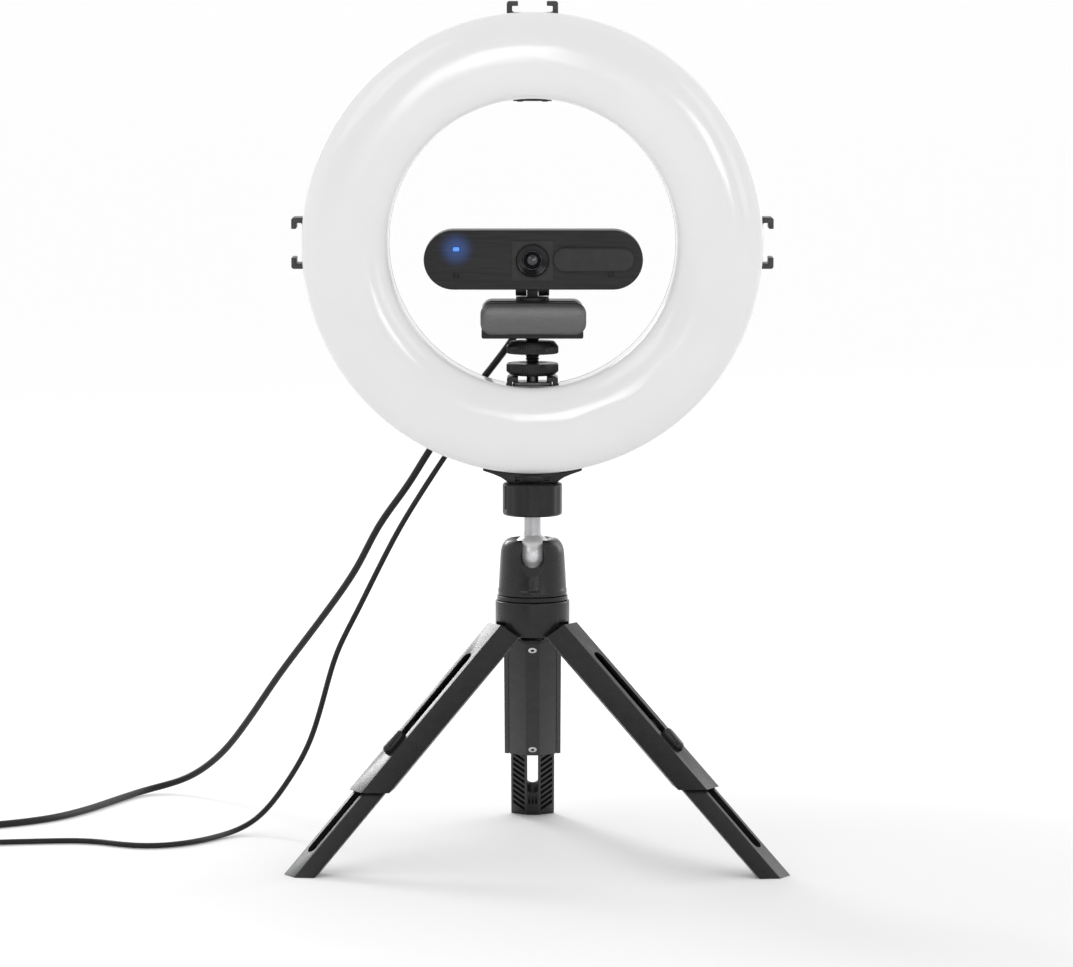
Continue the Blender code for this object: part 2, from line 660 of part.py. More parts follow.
def make_clamp_base(paint, frame):
    """The block on the screw, with two ears at its back for the flap."""
    low, top = CLAMP_LOW, CLAMP_TOP
    centre = (0, (top + low) / 2)
    outline = rounded_box(22.4 * MM, (top - low) / 2, 2.2 * MM, centre, 3)
    base = extruded("clamp_base", outline, -4.0 * MM, CLAMP_BACK, paint, "Y", frame)
    hinge_y, hinge_z = JAW_HINGE
    for side in (-1, 1):
        ear = [(CLAMP_BACK - 1 * MM, hinge_z - 2 * MM), (hinge_y + 1.8 * MM, hinge_z - 2 * MM),
               (hinge_y + 1.8 * MM, hinge_z + 2 * MM), (CLAMP_BACK - 1 * MM, hinge_z + 2 * MM)]
        near, far = sorted((side * 18.6 * MM, side * 22.0 * MM))
        carve(base, extruded("jaw_ear", ear, near, far, None, "X", frame), "UNION")
    hole = turned("clamp_bore", [(0, 225 * MM), (3.4 * MM, 225 * MM), (3.4 * MM, 234.2 * MM),
                                 (0, 234.2 * MM)], None, (0, SCREW_Y, 0), steps=20, frame=frame)
    carve(base, hole)
    bore = circle(1.1 * MM, 12, JAW_HINGE)
    carve(base, extruded("ear_bore", bore, -24 * MM, 24 * MM, None, "X", frame))
    return base


def make_clamp_plate(paint, frame):
    """The grey cover: its front is crowned from top to bottom."""
    centre = (0, 236.8 * MM)
    loops = []
    for depth, shrink in ((-4.3, 0.0), (-6.2, 0.0), (-7.1, 0.5), (-7.6, 1.4), (-7.8, 2.8)):
        outline = rounded_box((23.25 - shrink) * MM, (7.1 - shrink) * MM, (5.0 - shrink) * MM, centre, 5)
        loops.append([Vector((u, depth * MM, v)) for u, v in outline])
    return lofted("clamp_plate", loops, paint, frame)


def make_clamp_jaw(paint, frame):
    """The flap behind the clamp, with the barrel that its pin runs through."""
    hinge_y, hinge_z = JAW_HINGE
    front, back = CLAMP_BACK + GAP, CLAMP_BACK + 3.0 * MM
    flap = [(front, 229.6 * MM), (back, 229.0 * MM), (back, hinge_z), (front, hinge_z)]
    jaw = extruded("clamp_jaw", flap, -17.0 * MM, 17.0 * MM, paint, "X", frame)
    barrel = circle(1.6 * MM, 16, JAW_HINGE)
    carve(jaw, extruded("jaw_barrel", barrel, -18.2 * MM, 18.2 * MM, None, "X", frame), "UNION")
    bore = circle(1.0 * MM, 12, JAW_HINGE)
    carve(jaw, extruded("jaw_bore", bore, -20 * MM, 20 * MM, None, "X", frame))
    return jaw


def make_jaw_pin(paint, frame):
    profile = [(0, -21.8 * MM), (0.7 * MM, -21.8 * MM), (0.7 * MM, 21.8 * MM), (0, 21.8 * MM)]
    return turned("jaw_pin", profile, paint, (0, *JAW_HINGE), "X", 12, frame)


def make_webcam_neck(paint, frame):
    """The foot of the webcam: a disc with a tongue that the body tilts on."""
    axis_y = TILT_AXIS[0]
    low, top = CLAMP_TOP + GAP, 247.4 * MM
    disc = [(0, low), (6.9 * MM, low), (6.9 * MM, top - 0.3 * MM), (6.6 * MM, top), (0, top)]
    neck = turned("webcam_neck", disc, paint, (0, axis_y, 0), steps=28, frame=frame)
    half = 2.4 * MM
    tongue = [(axis_y - half, low + 0.6 * MM), (axis_y + half, low + 0.6 * MM)]
    tongue += arc(3.9 * MM, -50, 230, 14, TILT_AXIS)
    carve(neck, extruded("neck_tongue", tongue, -2.3 * MM, 2.3 * MM, None, "X", frame), "UNION")
    bore = circle(1.2 * MM, 12, TILT_AXIS)
    carve(neck, extruded("neck_bore", bore, -4 * MM, 4 * MM, None, "X", frame))
    return neck


def make_tilt_pin(paint, frame):
    profile = [(0, -6 * MM), (0.9 * MM, -6 * MM), (0.9 * MM, 6 * MM), (0, 6 * MM)]
    return turned("tilt_pin", profile, paint, (0, *TILT_AXIS), "X", 12, frame)


def body_loop(depth, shrink, steps=9):
    """The webcam's outline, drawn in by an amount, at a depth."""
    outline = pill(BODY_HALF - shrink, BODY_RADIUS - shrink, (0, BODY_Z), steps)
    return [Vector((u, depth, v)) for u, v in outline]


def make_rear_shell(paint, frame):
    """The webcam's deep shell, open at the front, with the knuckle that it tilts on."""
    front, back, wall = PANEL_BACK + GAP, BODY_BACK, 1.6 * MM
    loops = [body_loop(front, 0.0), body_loop(back - 6.0 * MM, 0.0), body_loop(back - 2.0 * MM, 1.4 * MM),
             body_loop(back, 4.6 * MM), body_loop(back - wall, 5.2 * MM),
             body_loop(back - 3.2 * MM, 3.0 * MM), body_loop(back - 6.6 * MM, wall),
             body_loop(front, wall)]
    bm = bmesh.new()
    rings = [[bm.verts.new(p) for p in loop] for loop in loops]
    for first, second in zip(rings[:3], rings[1:4]):
        stitch(bm, first, second)
    for first, second in zip(rings[4:7], rings[5:8]):
        stitch(bm, first, second)
    bm.faces.new(rings[3])
    bm.faces.new(rings[4])
    stitch(bm, rings[0], rings[7])
    shell = mesh_object("webcam_rear_shell", bm, paint, frame)
    axis_y, axis_z = TILT_AXIS
    knuckle = circle(4.3 * MM, 20, TILT_AXIS)
    carve(shell, extruded("knuckle", knuckle, -7.4 * MM, 7.4 * MM, None, "X", frame), "UNION")
    slot = [(axis_y - 4.7 * MM, 246 * MM), (axis_y + 4.7 * MM, 246 * MM),
            (axis_y + 4.7 * MM, axis_z + 4.6 * MM), (axis_y - 4.7 * MM, axis_z + 4.6 * MM)]
    carve(shell, extruded("tongue_slot", slot, -2.6 * MM, 2.6 * MM, None, "X", frame))
    bore = circle(1.2 * MM, 12, TILT_AXIS)
    carve(shell, extruded("knuckle_bore", bore, -6.3 * MM, 6.3 * MM, None, "X", frame))
    return shell


def make_front_panel(paint, frame):
    """The brushed face: holes for the lens and the light, and the slider's slit."""
    loops = [body_loop(PANEL_BACK, 0.0), body_loop(PANEL_FRONT + 0.7 * MM, 0.0),
             body_loop(PANEL_FRONT, 0.8 * MM)]
    panel = lofted("webcam_front_panel", loops, paint, frame)
    lens = circle(LENS_RADIUS + GAP, 32, (0, LENS_Z))
    lamp = circle(1.7 * MM, 16, LED_CENTRE)
    slit_half = (4 * MM + SLIDER_TRAVEL) / 2 + GAP
    slit_centre = (SLIDER_CENTRE[0] + 8 * MM - SLIDER_TRAVEL / 2, SLIDER_CENTRE[1])
    slit = pill(slit_half, 0.8 * MM, slit_centre, 4)
    for name, outline in (("lens_hole", lens), ("lamp_hole", lamp), ("slider_slit", slit)):
        carve(panel, extruded(name, outline, -15 * MM, -7 * MM, None, "Y", frame))
    return panel


def make_lens(barrel_paint, glass_paint, frame):
    barrel = [(7.7, -12.0), (7.7, -3.0), (4.2, -3.0), (4.2, -8.2), (6.9, -12.0)]
    turned("lens_barrel", [(r * MM, y * MM) for r, y in barrel], barrel_paint, (0, 0, LENS_Z), "Y", 32, frame)
    glass = [(0, -9.6), (2.2, -9.25), (3.9, -8.0), (3.9, -5.0), (0, -5.0)]
    turned("lens_glass", [(r * MM, y * MM) for r, y in glass], glass_paint, (0, 0, LENS_Z), "Y", 24, frame)


def make_privacy_slider(paint, frame):
    loops = []
    for depth, shrink in ((-12.3, 0.0), (-13.2, 0.0), (-13.6, 0.5)):
        outline = pill((17.7 - shrink) * MM, (5.15 - shrink) * MM, SLIDER_CENTRE, 7)
        loops.append([Vector((u, depth * MM, v)) for u, v in outline])
    slider = lofted("privacy_slider", loops, paint, frame)
    tongue = pill(2.0 * MM, 0.5 * MM, (SLIDER_CENTRE[0] + 8 * MM, SLIDER_CENTRE[1]), 4)
    carve(slider, extruded("slider_tongue", tongue, -12.6 * MM, -9.2 * MM, None, "Y", frame), "UNION")
    return slider


def make_status_led(paint, frame):
    profile = [(0, -12.1 * MM), (1.0 * MM, -12.0 * MM), (1.4 * MM, -11.7 * MM), (1.4 * MM, -9.0 * MM),
               (0, -9.0 * MM)]
    return turned("status_led", profile, paint, (LED_CENTRE[0], 0, LED_CENTRE[1]), "Y", 12, frame)


# ---------------------------------------------------------------- cords

WEBCAM_GLAND = Vector((3.0 * MM, BODY_BACK + GAP, 259.5 * MM))
LIGHT_GLAND = Vector((-29.2 * MM, RING_BACK + GAP, 187.9 * MM))
GLAND_LENGTH = 11.0 * MM

# From the webcam's back, down behind the ring to the floor and away to the left, in mm
WEBCAM_ROUTE = [
    (3.0, 21.6, 259.5), (3.0, 28.5, 259.4), (2.2, 34.6, 254.5), (-1.0, 35.5, 243.5), (-9.5, 34.5, 227.0),
    (-20.8, 33.5, 210.5), (-33.5, 33.5, 193.5), (-46.0, 35.0, 177.0), (-54.8, 38.5, 161.6),
    (-69.4, 50.0, 141.0), (-79.7, 62.0, 120.1), (-95.0, 80.0, 97.0), (-117.4, 108.0, 65.2),
    (-132.0, 128.0, 42.4), (-146.7, 149.0, 22.0), (-164.0, 166.0, 7.5), (-181.9, 167.0, 2.4),
    (-196.0, 138.0, 1.7), (-207.0, 110.0, 1.7), (-221.7, 84.0, 1.7), (-243.0, 66.5, 1.7),
    (-256.0, 60.8, 1.7), (-268.3, 59.0, 1.7),
]

# From the ring's back, down to the floor, forward and away to the left, to the remote, in mm
LIGHT_ROUTE = [
    (-29.2, 25.7, 187.9), (-29.2, 30.5, 187.8), (-31.4, 34.4, 184.6), (-37.4, 34.2, 176.4),
    (-49.6, 31.5, 157.8), (-59.3, 30.8, 142.2), (-68.8, 32.0, 123.8), (-80.1, 35.0, 100.8),
    (-88.3, 37.5, 84.9), (-93.4, 40.0, 66.5), (-99.9, 44.5, 43.3), (-106.7, 48.5, 28.5),
    (-114.5, 51.5, 15.5), (-123.0, 52.5, 5.5), (-134.3, 48.5, 1.8), (-146.5, 27.5, 1.4),
    (-159.5, 13.0, 1.4), (-172.9, 8.5, 1.4), (-184.0, 13.5, 1.4), (-195.3, 22.5, 1.4),
    (-207.0, 24.5, 1.4), (-221.6, 22.0, 1.4), (-236.1, 20.5, 1.4), (-247.5, 16.0, 1.6),
    (-255.5, 7.5, 3.0), (-259.3, -3.0, 4.9), (-260.0, -12.2, 5.4),
]

WEBCAM_COIL = (-285.0 * MM, 80.0 * MM)      # X and Y of its centre
WEBCAM_COIL_SIZE = (17.65 * MM, 13.1 * MM, 6.7 * MM)   # middle radius, width of its ring, height
WEBCAM_PLUG = (-307.6 * MM, 97.2 * MM)
REMOTE_CENTRE = (-260.0 * MM, -46.5 * MM)
REMOTE_TURN = math.radians(-90.0)
LIGHT_COIL = (-280.2 * MM, -95.8 * MM)
LIGHT_COIL_SIZE = (15.0 * MM, 12.9 * MM, 5.3 * MM)
LIGHT_PLUG = (-300.4 * MM, -80.5 * MM)
PLUG_TURN = math.radians(90.0)
PLUG_MIDDLE = 4.1 * MM                      # height of a plug's axis
REMOTE_MIDDLE = 5.4 * MM


def make_coil(name, centre, size, paint):
    """The outer shape of a neat round coil that lies on the floor."""
    middle, across, high = size
    inner, outer = middle - across / 2, middle + across / 2
    soft = 1.2 * MM
    low = 0.1 * MM
    profile = [(outer, low + soft), (outer, high - soft), (outer - soft, high), (inner + soft, high),
               (inner, high - soft), (inner, low + soft), (inner + soft, low), (outer - soft, low)]
    return turned(name, profile, paint, (*centre, 0), steps=28)


def flat_body(name, stations, middle, paint):
    """A rounded body along X through (reach, half width, half height) stations, in mm."""
    loops = []
    for reach, half_wide, half_high in stations:
        outline = rounded_box(half_wide * MM, half_high * MM, 0.9 * half_high * MM, (0, middle), 3)
        loops.append([Vector((reach * MM, u, v)) for u, v in outline])
    return lofted(name, loops, paint)


def make_plug(name, centre, paint):
    """A USB plug lying flat and pointing to the back: overmould, and its metal end."""
    place = Matrix.Translation((*centre, 0)) @ Matrix.Rotation(PLUG_TURN, 4, "Z")
    stations = [(0, 2.2, 2.2), (9, 3.0, 2.9), (11, 6.0, 3.9), (33, 6.0, 3.9), (34, 5.2, 3.2)]
    plug = flat_body(name, stations, PLUG_MIDDLE, paint)
    end = rounded_box(6.0 * MM, 2.25 * MM, 0.6 * MM, (0, PLUG_MIDDLE), 2)
    shell = extruded(name + "_end", end, 33.5 * MM, 46 * MM, None, "X")
    carve(plug, shell, "UNION")
    for piece in (plug, shell):
        piece.data.transform(place)
    return plug


def make_remote(paints):
    """The in-line controller and its three buttons, lying on the floor."""
    place = Matrix.Translation((*REMOTE_CENTRE, 0)) @ Matrix.Rotation(REMOTE_TURN, 4, "Z")
    half = [(24, 8.0, 5.2), (25.5, 7.4, 4.9), (27, 2.8, 2.8), (34, 2.0, 2.0)]
    stations = [(-reach, *size) for reach, *size in reversed(half)] + half
    shell = flat_body("remote_shell", stations, REMOTE_MIDDLE, paints["cord"])
    shell.data.transform(place)
    for at, name in ((-14, "power"), (0, "brighter"), (14, "dimmer")):
        spot = (at * MM, 0)
        well = extruded(name + "_well", pill(4.8 * MM, 3.3 * MM, spot, 5), 7.0 * MM, 14 * MM, None, "Z")
        well.data.transform(place)
        carve(shell, well)
        loops = []
        for height, shrink in ((8.1, 0.0), (11.2, 0.0), (11.7, 0.6)):
            outline = pill((4.5 - shrink) * MM, (3.0 - shrink) * MM, spot, 5)
            loops.append([Vector((u, v, height * MM)) for u, v in outline])
        button = lofted(f"remote_button_{name}", loops, paints["button"])
        button.data.transform(place)
        hang(button, joint_frame(f"remote_{name}_press", place @ Vector((*spot, 9 * MM))))


def make_cords(paints, webcam_frame, head_frame):
    relief("webcam_cord_gland", WEBCAM_GLAND, GLAND_LENGTH, paints["cord"], webcam_frame, 2.6 * MM, 2.0 * MM)
    relief("light_cord_gland", LIGHT_GLAND, GLAND_LENGTH, paints["cord"], head_frame, 2.3 * MM, 1.7 * MM)
    cord_tube("webcam_cord", WEBCAM_ROUTE, WEBCAM_CORD, paints["cord"])
    cord_tube("light_cord", LIGHT_ROUTE, LIGHT_CORD, paints["cord"])
    make_coil("webcam_coil", WEBCAM_COIL, WEBCAM_COIL_SIZE, paints["cord"])
    make_coil("light_coil", LIGHT_COIL, LIGHT_COIL_SIZE, paints["cord"])
    make_plug("webcam_plug", WEBCAM_PLUG, paints["plug"])
    make_plug("light_plug", LIGHT_PLUG, paints["plug"])
    make_remote(paints)


# ---------------------------------------------------------------- assembly

def make_materials():
    return {
        "opal": material("opal_diffuser", (0.86, 0.86, 0.86), 0.32),
        "housing": material("housing_plastic", (0.035, 0.036, 0.038), 0.5),
        "board": material("board_lacquer", (0.75, 0.76, 0.74), 0.5),
        "shoe": material("shoe_plastic", (0.05, 0.05, 0.052), 0.42),
        "brass": material("brass", (0.72, 0.53, 0.26), 0.3, 1.0),
        "steel": material("polished_steel", (0.75, 0.75, 0.76), 0.16, 1.0),
        "seat": material("acetal_seat", (0.55, 0.55, 0.53), 0.45),
        "leg": material("leg_plastic", (0.052, 0.052, 0.054), 0.48),
        "cover": material("cover_plastic", (0.06, 0.06, 0.062), 0.5),
        "slide": material("slide_plastic", (0.045, 0.045, 0.047), 0.5),
        "button": material("button_plastic", (0.09, 0.09, 0.092), 0.3),
        "grey": material("satin_grey", (0.2, 0.2, 0.2), 0.35, 0.4),
        "shell": material("webcam_plastic", (0.03, 0.03, 0.031), 0.42),
        "panel": material("brushed_panel", (0.04, 0.04, 0.041), 0.4, 0.3),
        "lens": material("lens_black", (0.01, 0.01, 0.011), 0.25),
        "glass": material("lens_glass", (0.05, 0.05, 0.06), 0.03),
        "led": material("status_blue", (0.12, 0.28, 0.75), 0.3),
        "cord": material("cord_vinyl", (0.04, 0.04, 0.042), 0.45),
        "plug": material("plug_vinyl", (0.03, 0.03, 0.032), 0.45),
    }


def make_head(paints, frame):
    make_diffuser(paints["opal"], frame)
    make_rear_housing(paints["housing"], frame)
    make_led_board(paints["board"], frame)
    make_shoe("shoe_top", 0, 1, paints["shoe"], frame)
    make_shoe("shoe_right", 90, 1, paints["shoe"], frame)
    make_shoe("shoe_left", -90, 1, paints["shoe"], frame)
    make_shoe("shoe_inner", 180, -1, paints["shoe"], frame)
    make_top_plate(paints["shoe"], frame)
    make_lower_bracket(paints["housing"], frame)
    make_mount_collar(paints["shoe"], frame)
    make_thread_insert(paints["brass"], frame)


def make_webcam(paints, frame):
    """The tilting half of the webcam."""
    make_rear_shell(paints["shell"], frame)
    make_front_panel(paints["panel"], frame)
    make_lens(paints["lens"], paints["glass"], frame)
    make_tilt_pin(paints["steel"], frame)
    make_status_led(paints["led"], frame)


def make_clamp(paints, frame):
    make_clamp_base(paints["shell"], frame)
    make_clamp_plate(paints["grey"], frame)
    make_jaw_pin(paints["steel"], frame)
    make_webcam_neck(paints["shell"], frame)


def build():
    for piece in list(bpy.data.objects):
        bpy.data.objects.remove(piece)
    paints = make_materials()

    make_crown(paints["leg"])
    make_crown_bolt(paints["steel"])
    make_lock_washer(paints["shoe"])
    for number, (turn, angle) in enumerate(zip(LEG_TURNS, LEG_ANGLES), 1):
        make_leg(number, turn, angle, paints)

    sleeve = joint_frame("sleeve_turn", (0, 0, CROWN_TOP))
    ball = joint_frame("ball_tilt", (0, 0, BALL_Z), sleeve)
    head = joint_frame("head_turn", (0, 0, COLLAR_LOW), ball)
    make_ball_housing(paints["leg"], sleeve)
    make_ball_seat(paints["seat"], sleeve)
    make_ball_stem(paints["steel"], ball)
    make_head(paints, head)

    foot = joint_frame("foot_slide", (0, SCREW_Y, RING_Z - RING_INNER), head)
    knob = joint_frame("knob_turn", (0, SCREW_Y, 213.0 * MM), foot)
    disc = joint_frame("disc_turn", (0, SCREW_Y, 222.1 * MM), foot)
    clamp = joint_frame("webcam_pan", (0, SCREW_Y, CLAMP_LOW), foot)
    jaw = joint_frame("jaw_fold", (0, *JAW_HINGE), clamp)
    webcam = joint_frame("webcam_tilt", (0, *TILT_AXIS), clamp)
    slider = joint_frame("slider_slide", (SLIDER_CENTRE[0], PANEL_FRONT, SLIDER_CENTRE[1]), webcam)

    make_adapter_foot(paints["steel"], foot)
    make_wheel("foot_knob", KNOB_PROFILE, paints["shoe"], knob)
    make_wheel("lock_disc", DISC_PROFILE, paints["shoe"], disc)
    make_clamp(paints, clamp)
    make_clamp_jaw(paints["shell"], jaw)
    make_webcam(paints, webcam)
    make_privacy_slider(paints["shell"], slider)
    make_cords(paints, webcam, head)

    for piece in bpy.data.objects:
        if not piece.parent:
            piece.location.y += CENTRE_Y


build()
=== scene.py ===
"""Looks for the desk ring light: finer pieces, materials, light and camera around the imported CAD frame."""
import math

import bmesh
import bpy
from mathutils import Matrix, Vector


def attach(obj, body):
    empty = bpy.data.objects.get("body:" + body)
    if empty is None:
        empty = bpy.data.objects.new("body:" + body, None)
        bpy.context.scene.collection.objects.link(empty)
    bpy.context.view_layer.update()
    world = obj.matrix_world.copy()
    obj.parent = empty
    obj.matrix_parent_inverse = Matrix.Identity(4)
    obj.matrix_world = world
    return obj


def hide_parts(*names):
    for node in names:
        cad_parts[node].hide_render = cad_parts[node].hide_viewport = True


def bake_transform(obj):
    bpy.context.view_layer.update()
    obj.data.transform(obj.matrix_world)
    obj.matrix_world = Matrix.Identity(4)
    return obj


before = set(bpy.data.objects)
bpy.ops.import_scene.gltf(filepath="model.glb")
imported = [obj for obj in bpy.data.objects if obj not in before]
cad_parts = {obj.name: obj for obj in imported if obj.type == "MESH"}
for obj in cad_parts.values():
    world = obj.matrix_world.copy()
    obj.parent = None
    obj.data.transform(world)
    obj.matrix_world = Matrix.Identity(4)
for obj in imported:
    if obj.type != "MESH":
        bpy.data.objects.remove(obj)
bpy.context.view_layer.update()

CENTRE_Y = -26.6        # mm; the ball head's axis stands this far in front of the origin
HOME = Matrix.Scale(0.001, 4) @ Matrix.Translation((0, CENTRE_Y, 0))


# ---- helpers
# Pieces are modelled in mm with the ball head's axis at X = 0, Y = 0, and brought home at the end.

def home(point):
    return HOME @ Vector(point)


def shift(x, y, z):
    return Matrix.Translation((x, y, z))


def spin(degrees, axis="Z"):
    return Matrix.Rotation(math.radians(degrees), 4, axis)


def scene_object(name, data):
    made = bpy.data.objects.new(name, data)
    bpy.context.scene.collection.objects.link(made)
    return made


def mesh_object(name, bm):
    made = scene_object(name, bpy.data.meshes.new(name))
    bm.to_mesh(made.data)
    bm.free()
    return made


def piece(name, bm, body, paint, replaces=(), sharp=30.0, place=None):
    """Turn a bmesh in mm into a smooth-shaded piece that rides on a body."""
    bmesh.ops.recalc_face_normals(bm, faces=bm.faces)
    bm.transform(HOME @ (place or Matrix.Identity(4)))
    made = mesh_object(name, bm)
    made.data.shade_smooth()
    made.data.set_sharp_from_angle(angle=math.radians(sharp))
    made.data.materials.append(paint)
    if body:
        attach(made, body)
    if replaces:
        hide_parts(*([replaces] if isinstance(replaces, str) else replaces))
    return made


def along(axis, u, v, h):
    return {"X": Vector((h, u, v)), "Y": Vector((u, h, v)), "Z": Vector((u, v, h))}[axis]


def stitch(bm, first, second):
    count = max(len(first), len(second))
    for k in range(count):
        corners = [first[k % len(first)], first[(k + 1) % len(first)]]
        corners += [second[(k + 1) % len(second)], second[k % len(second)]]
        bm.faces.new([v for n, v in enumerate(corners) if v not in corners[:n]])


def lathe(profile, steps=96, axis="Z", centre=(0, 0, 0), shape=None):
    """A turned solid from (radius, height) points; shape may change the radius with the angle."""
    bm = bmesh.new()
    rings = []
    for radius, height in profile:
        ring = []
        for k in range(steps if radius > 0 else 1):
            angle = 2 * math.pi * k / steps
            r = shape(radius, height, angle) if shape and radius > 0 else radius
            spot = along(axis, r * math.cos(angle), r * math.sin(angle), height)
            ring.append(bm.verts.new(spot + Vector(centre)))
        rings.append(ring)
    pairs = list(zip(rings, rings[1:]))
    if profile[0][0] > 0 and profile[-1][0] > 0:
        pairs.append((rings[-1], rings[0]))
    for first, second in pairs:
        stitch(bm, first, second)
    return bm


def loft(loops, closed=False):
    """A solid through loops of points, capped at both ends, or joined end to end."""
    bm = bmesh.new()
    rings = [[bm.verts.new(p) for p in loop] for loop in loops]
    for first, second in zip(rings, rings[1:]):
        stitch(bm, first, second)
    if closed:
        stitch(bm, rings[-1], rings[0])
    else:
        bm.faces.new(rings[0])
        bm.faces.new(rings[-1])
    return bm


def prism(outline, low, high, axis="Y"):
    return loft([[along(axis, u, v, h) for u, v in outline] for h in (low, high)])


def layers(outline, steps, axis="Y"):
    """A solid through one outline, drawn in by its own amount at each of its heights."""
    return loft([[along(axis, u, v, h) for u, v in outline(shrink)] for h, shrink in steps])


def box(left, low, right, high):
    return [(left, low), (right, low), (right, high), (left, high)]


def arc(radius, start, end, steps, centre=(0, 0)):
    angles = [math.radians(start + (end - start) * k / steps) for k in range(steps + 1)]
    return [(centre[0] + radius * math.cos(a), centre[1] + radius * math.sin(a)) for a in angles]


def circle(radius, steps, centre=(0, 0)):
    return arc(radius, 0, 360 - 360 / steps, steps - 1, centre)


def pill(half_long, half_wide, centre=(0, 0), steps=12):
    reach = half_long - half_wide
    right = arc(half_wide, -90, 90, steps, (centre[0] + reach, centre[1]))
    return right + arc(half_wide, 90, 270, steps, (centre[0] - reach, centre[1]))


def rounded_box(half_u, half_v, radius, centre=(0, 0), steps=6):
    outline = []
    for turn, su, sv in ((0, 1, 1), (90, -1, 1), (180, -1, -1), (270, 1, -1)):
        corner = (centre[0] + su * (half_u - radius), centre[1] + sv * (half_v - radius))
        outline += arc(radius, turn, turn + 90, steps, corner)
    return outline


def soften(bm, width, angle=30.0, segments=2):
    """Bevel every edge sharper than an angle."""
    bmesh.ops.recalc_face_normals(bm, faces=bm.faces)
    limit = math.radians(angle)
    edges = [e for e in bm.edges if len(e.link_faces) == 2 and e.calc_face_angle(0.0) > limit]
    bmesh.ops.bevel(bm, geom=edges, offset=width, offset_type="OFFSET", segments=segments,
                    profile=0.6, affect="EDGES", clamp_overlap=True)
    return bm


def combine(bm, tools, operation="DIFFERENCE"):
    """Cut a bmesh with closed tool bmeshes, or join them to it, with exact booleans."""
    target = mesh_object("work", bm)
    helpers = []
    for tool in tools:
        bmesh.ops.recalc_face_normals(tool, faces=tool.faces)
        helper = mesh_object("tool", tool)
        step = target.modifiers.new("step", "BOOLEAN")
        step.operation, step.solver, step.object = operation, "EXACT", helper
        helpers.append(helper)
    bpy.context.view_layer.update()
    done = target.evaluated_get(bpy.context.evaluated_depsgraph_get())
    result = bmesh.new()
    result.from_mesh(done.to_mesh())
    done.to_mesh_clear()
    for leftover in helpers + [target]:
        bpy.data.objects.remove(leftover)
    bmesh.ops.remove_doubles(result, verts=result.verts, dist=0.002)
    bmesh.ops.dissolve_limit(result, angle_limit=math.radians(0.6), verts=result.verts, edges=result.edges)
    return result


def from_node(node):
    """A CAD node's mesh in mm, welded, with its flat faces joined up again."""
    bm = bmesh.new()
    bm.from_mesh(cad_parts[node].data)
    bm.transform(HOME.inverted())
    bmesh.ops.remove_doubles(bm, verts=bm.verts, dist=0.003)
    bmesh.ops.dissolve_limit(bm, angle_limit=math.radians(0.8), verts=bm.verts, edges=bm.edges)
    return bm


# ---- camera, floor and light

CAMERA_AT = (1.79, -2341.5, 397.8)     # mm, from the framing
CAMERA_PITCH = 5.682                   # degrees down
LENS = 178.9


def set_camera():
    data = bpy.data.cameras.new("camera")
    data.lens = LENS
    data.sensor_width = 36.0
    data.sensor_fit = "HORIZONTAL"
    data.clip_end = 200.0
    camera = scene_object("camera", data)
    camera.location = home(CAMERA_AT)
    camera.rotation_euler = (math.radians(90.0 - CAMERA_PITCH), 0, 0)
    bpy.context.scene.camera = camera


def lamp(name, at, aim, size, power):
    """A white area light in metres, aimed at a point."""
    data = bpy.data.lights.new(name, "AREA")
    data.shape = "RECTANGLE"
    data.size, data.size_y = size
    data.energy = power
    light = scene_object(name, data)
    light.location = at
    light.visible_camera = False
    light.rotation_euler = (Vector(aim) - Vector(at)).to_track_quat("-Z", "Y").to_euler()


# ---- cords

WEBCAM_ROUTE = [
    (3.0, 21.6, 259.5), (3.0, 28.5, 259.4), (2.6, 34.6, 254.5), (0.4, 35.5, 243.5), (-8.0, 34.5, 227.0),
    (-20.8, 33.5, 210.5), (-33.5, 33.5, 193.5), (-46.0, 35.0, 177.0), (-54.8, 38.5, 161.6),
    (-69.4, 50.0, 141.0), (-79.7, 62.0, 120.1), (-95.0, 80.0, 97.0), (-117.4, 108.0, 65.2),
    (-132.0, 128.0, 42.4), (-146.7, 149.0, 22.0), (-164.0, 166.0, 7.5), (-181.9, 167.0, 2.4),
    (-196.0, 138.0, 1.7), (-207.0, 110.0, 1.7), (-221.7, 84.0, 1.7), (-243.0, 66.5, 1.7),
    (-256.0, 60.8, 1.7), (-268.3, 59.0, 1.7),
]
LIGHT_ROUTE = [
    (-29.2, 25.7, 187.9), (-29.2, 30.5, 187.8), (-31.4, 34.4, 184.6), (-37.4, 34.2, 176.4),
    (-49.6, 31.5, 157.8), (-59.3, 30.8, 142.2), (-68.8, 32.0, 123.8), (-80.1, 35.0, 100.8),
    (-88.3, 37.5, 84.9), (-93.4, 40.0, 66.5), (-100.3, 44.5, 43.3), (-108.2, 48.5, 28.5),
    (-116.9, 51.5, 15.5), (-125.4, 52.5, 5.5), (-134.3, 48.5, 1.8), (-146.5, 27.5, 1.4),
    (-159.5, 13.0, 1.4), (-172.9, 8.5, 1.4), (-184.0, 13.5, 1.4), (-195.3, 22.5, 1.4),
    (-207.0, 24.5, 1.4), (-221.6, 22.0, 1.4), (-236.1, 20.5, 1.4), (-247.5, 16.0, 1.6),
    (-255.5, 7.5, 3.0), (-259.3, -3.0, 4.9), (-260.0, -12.2, 5.4),
]
BEHIND_REMOTE = [      # the cord runs on straight through the controller
    (-260.0, -30.0, 5.4), (-260.0, -50.0, 5.4), (-260.0, -70.0, 5.4), (-260.0, -81.5, 5.2),
    (-260.0, -88.5, 3.0),
]
WEBCAM_CORD = 3.2
LIGHT_CORD = 2.5


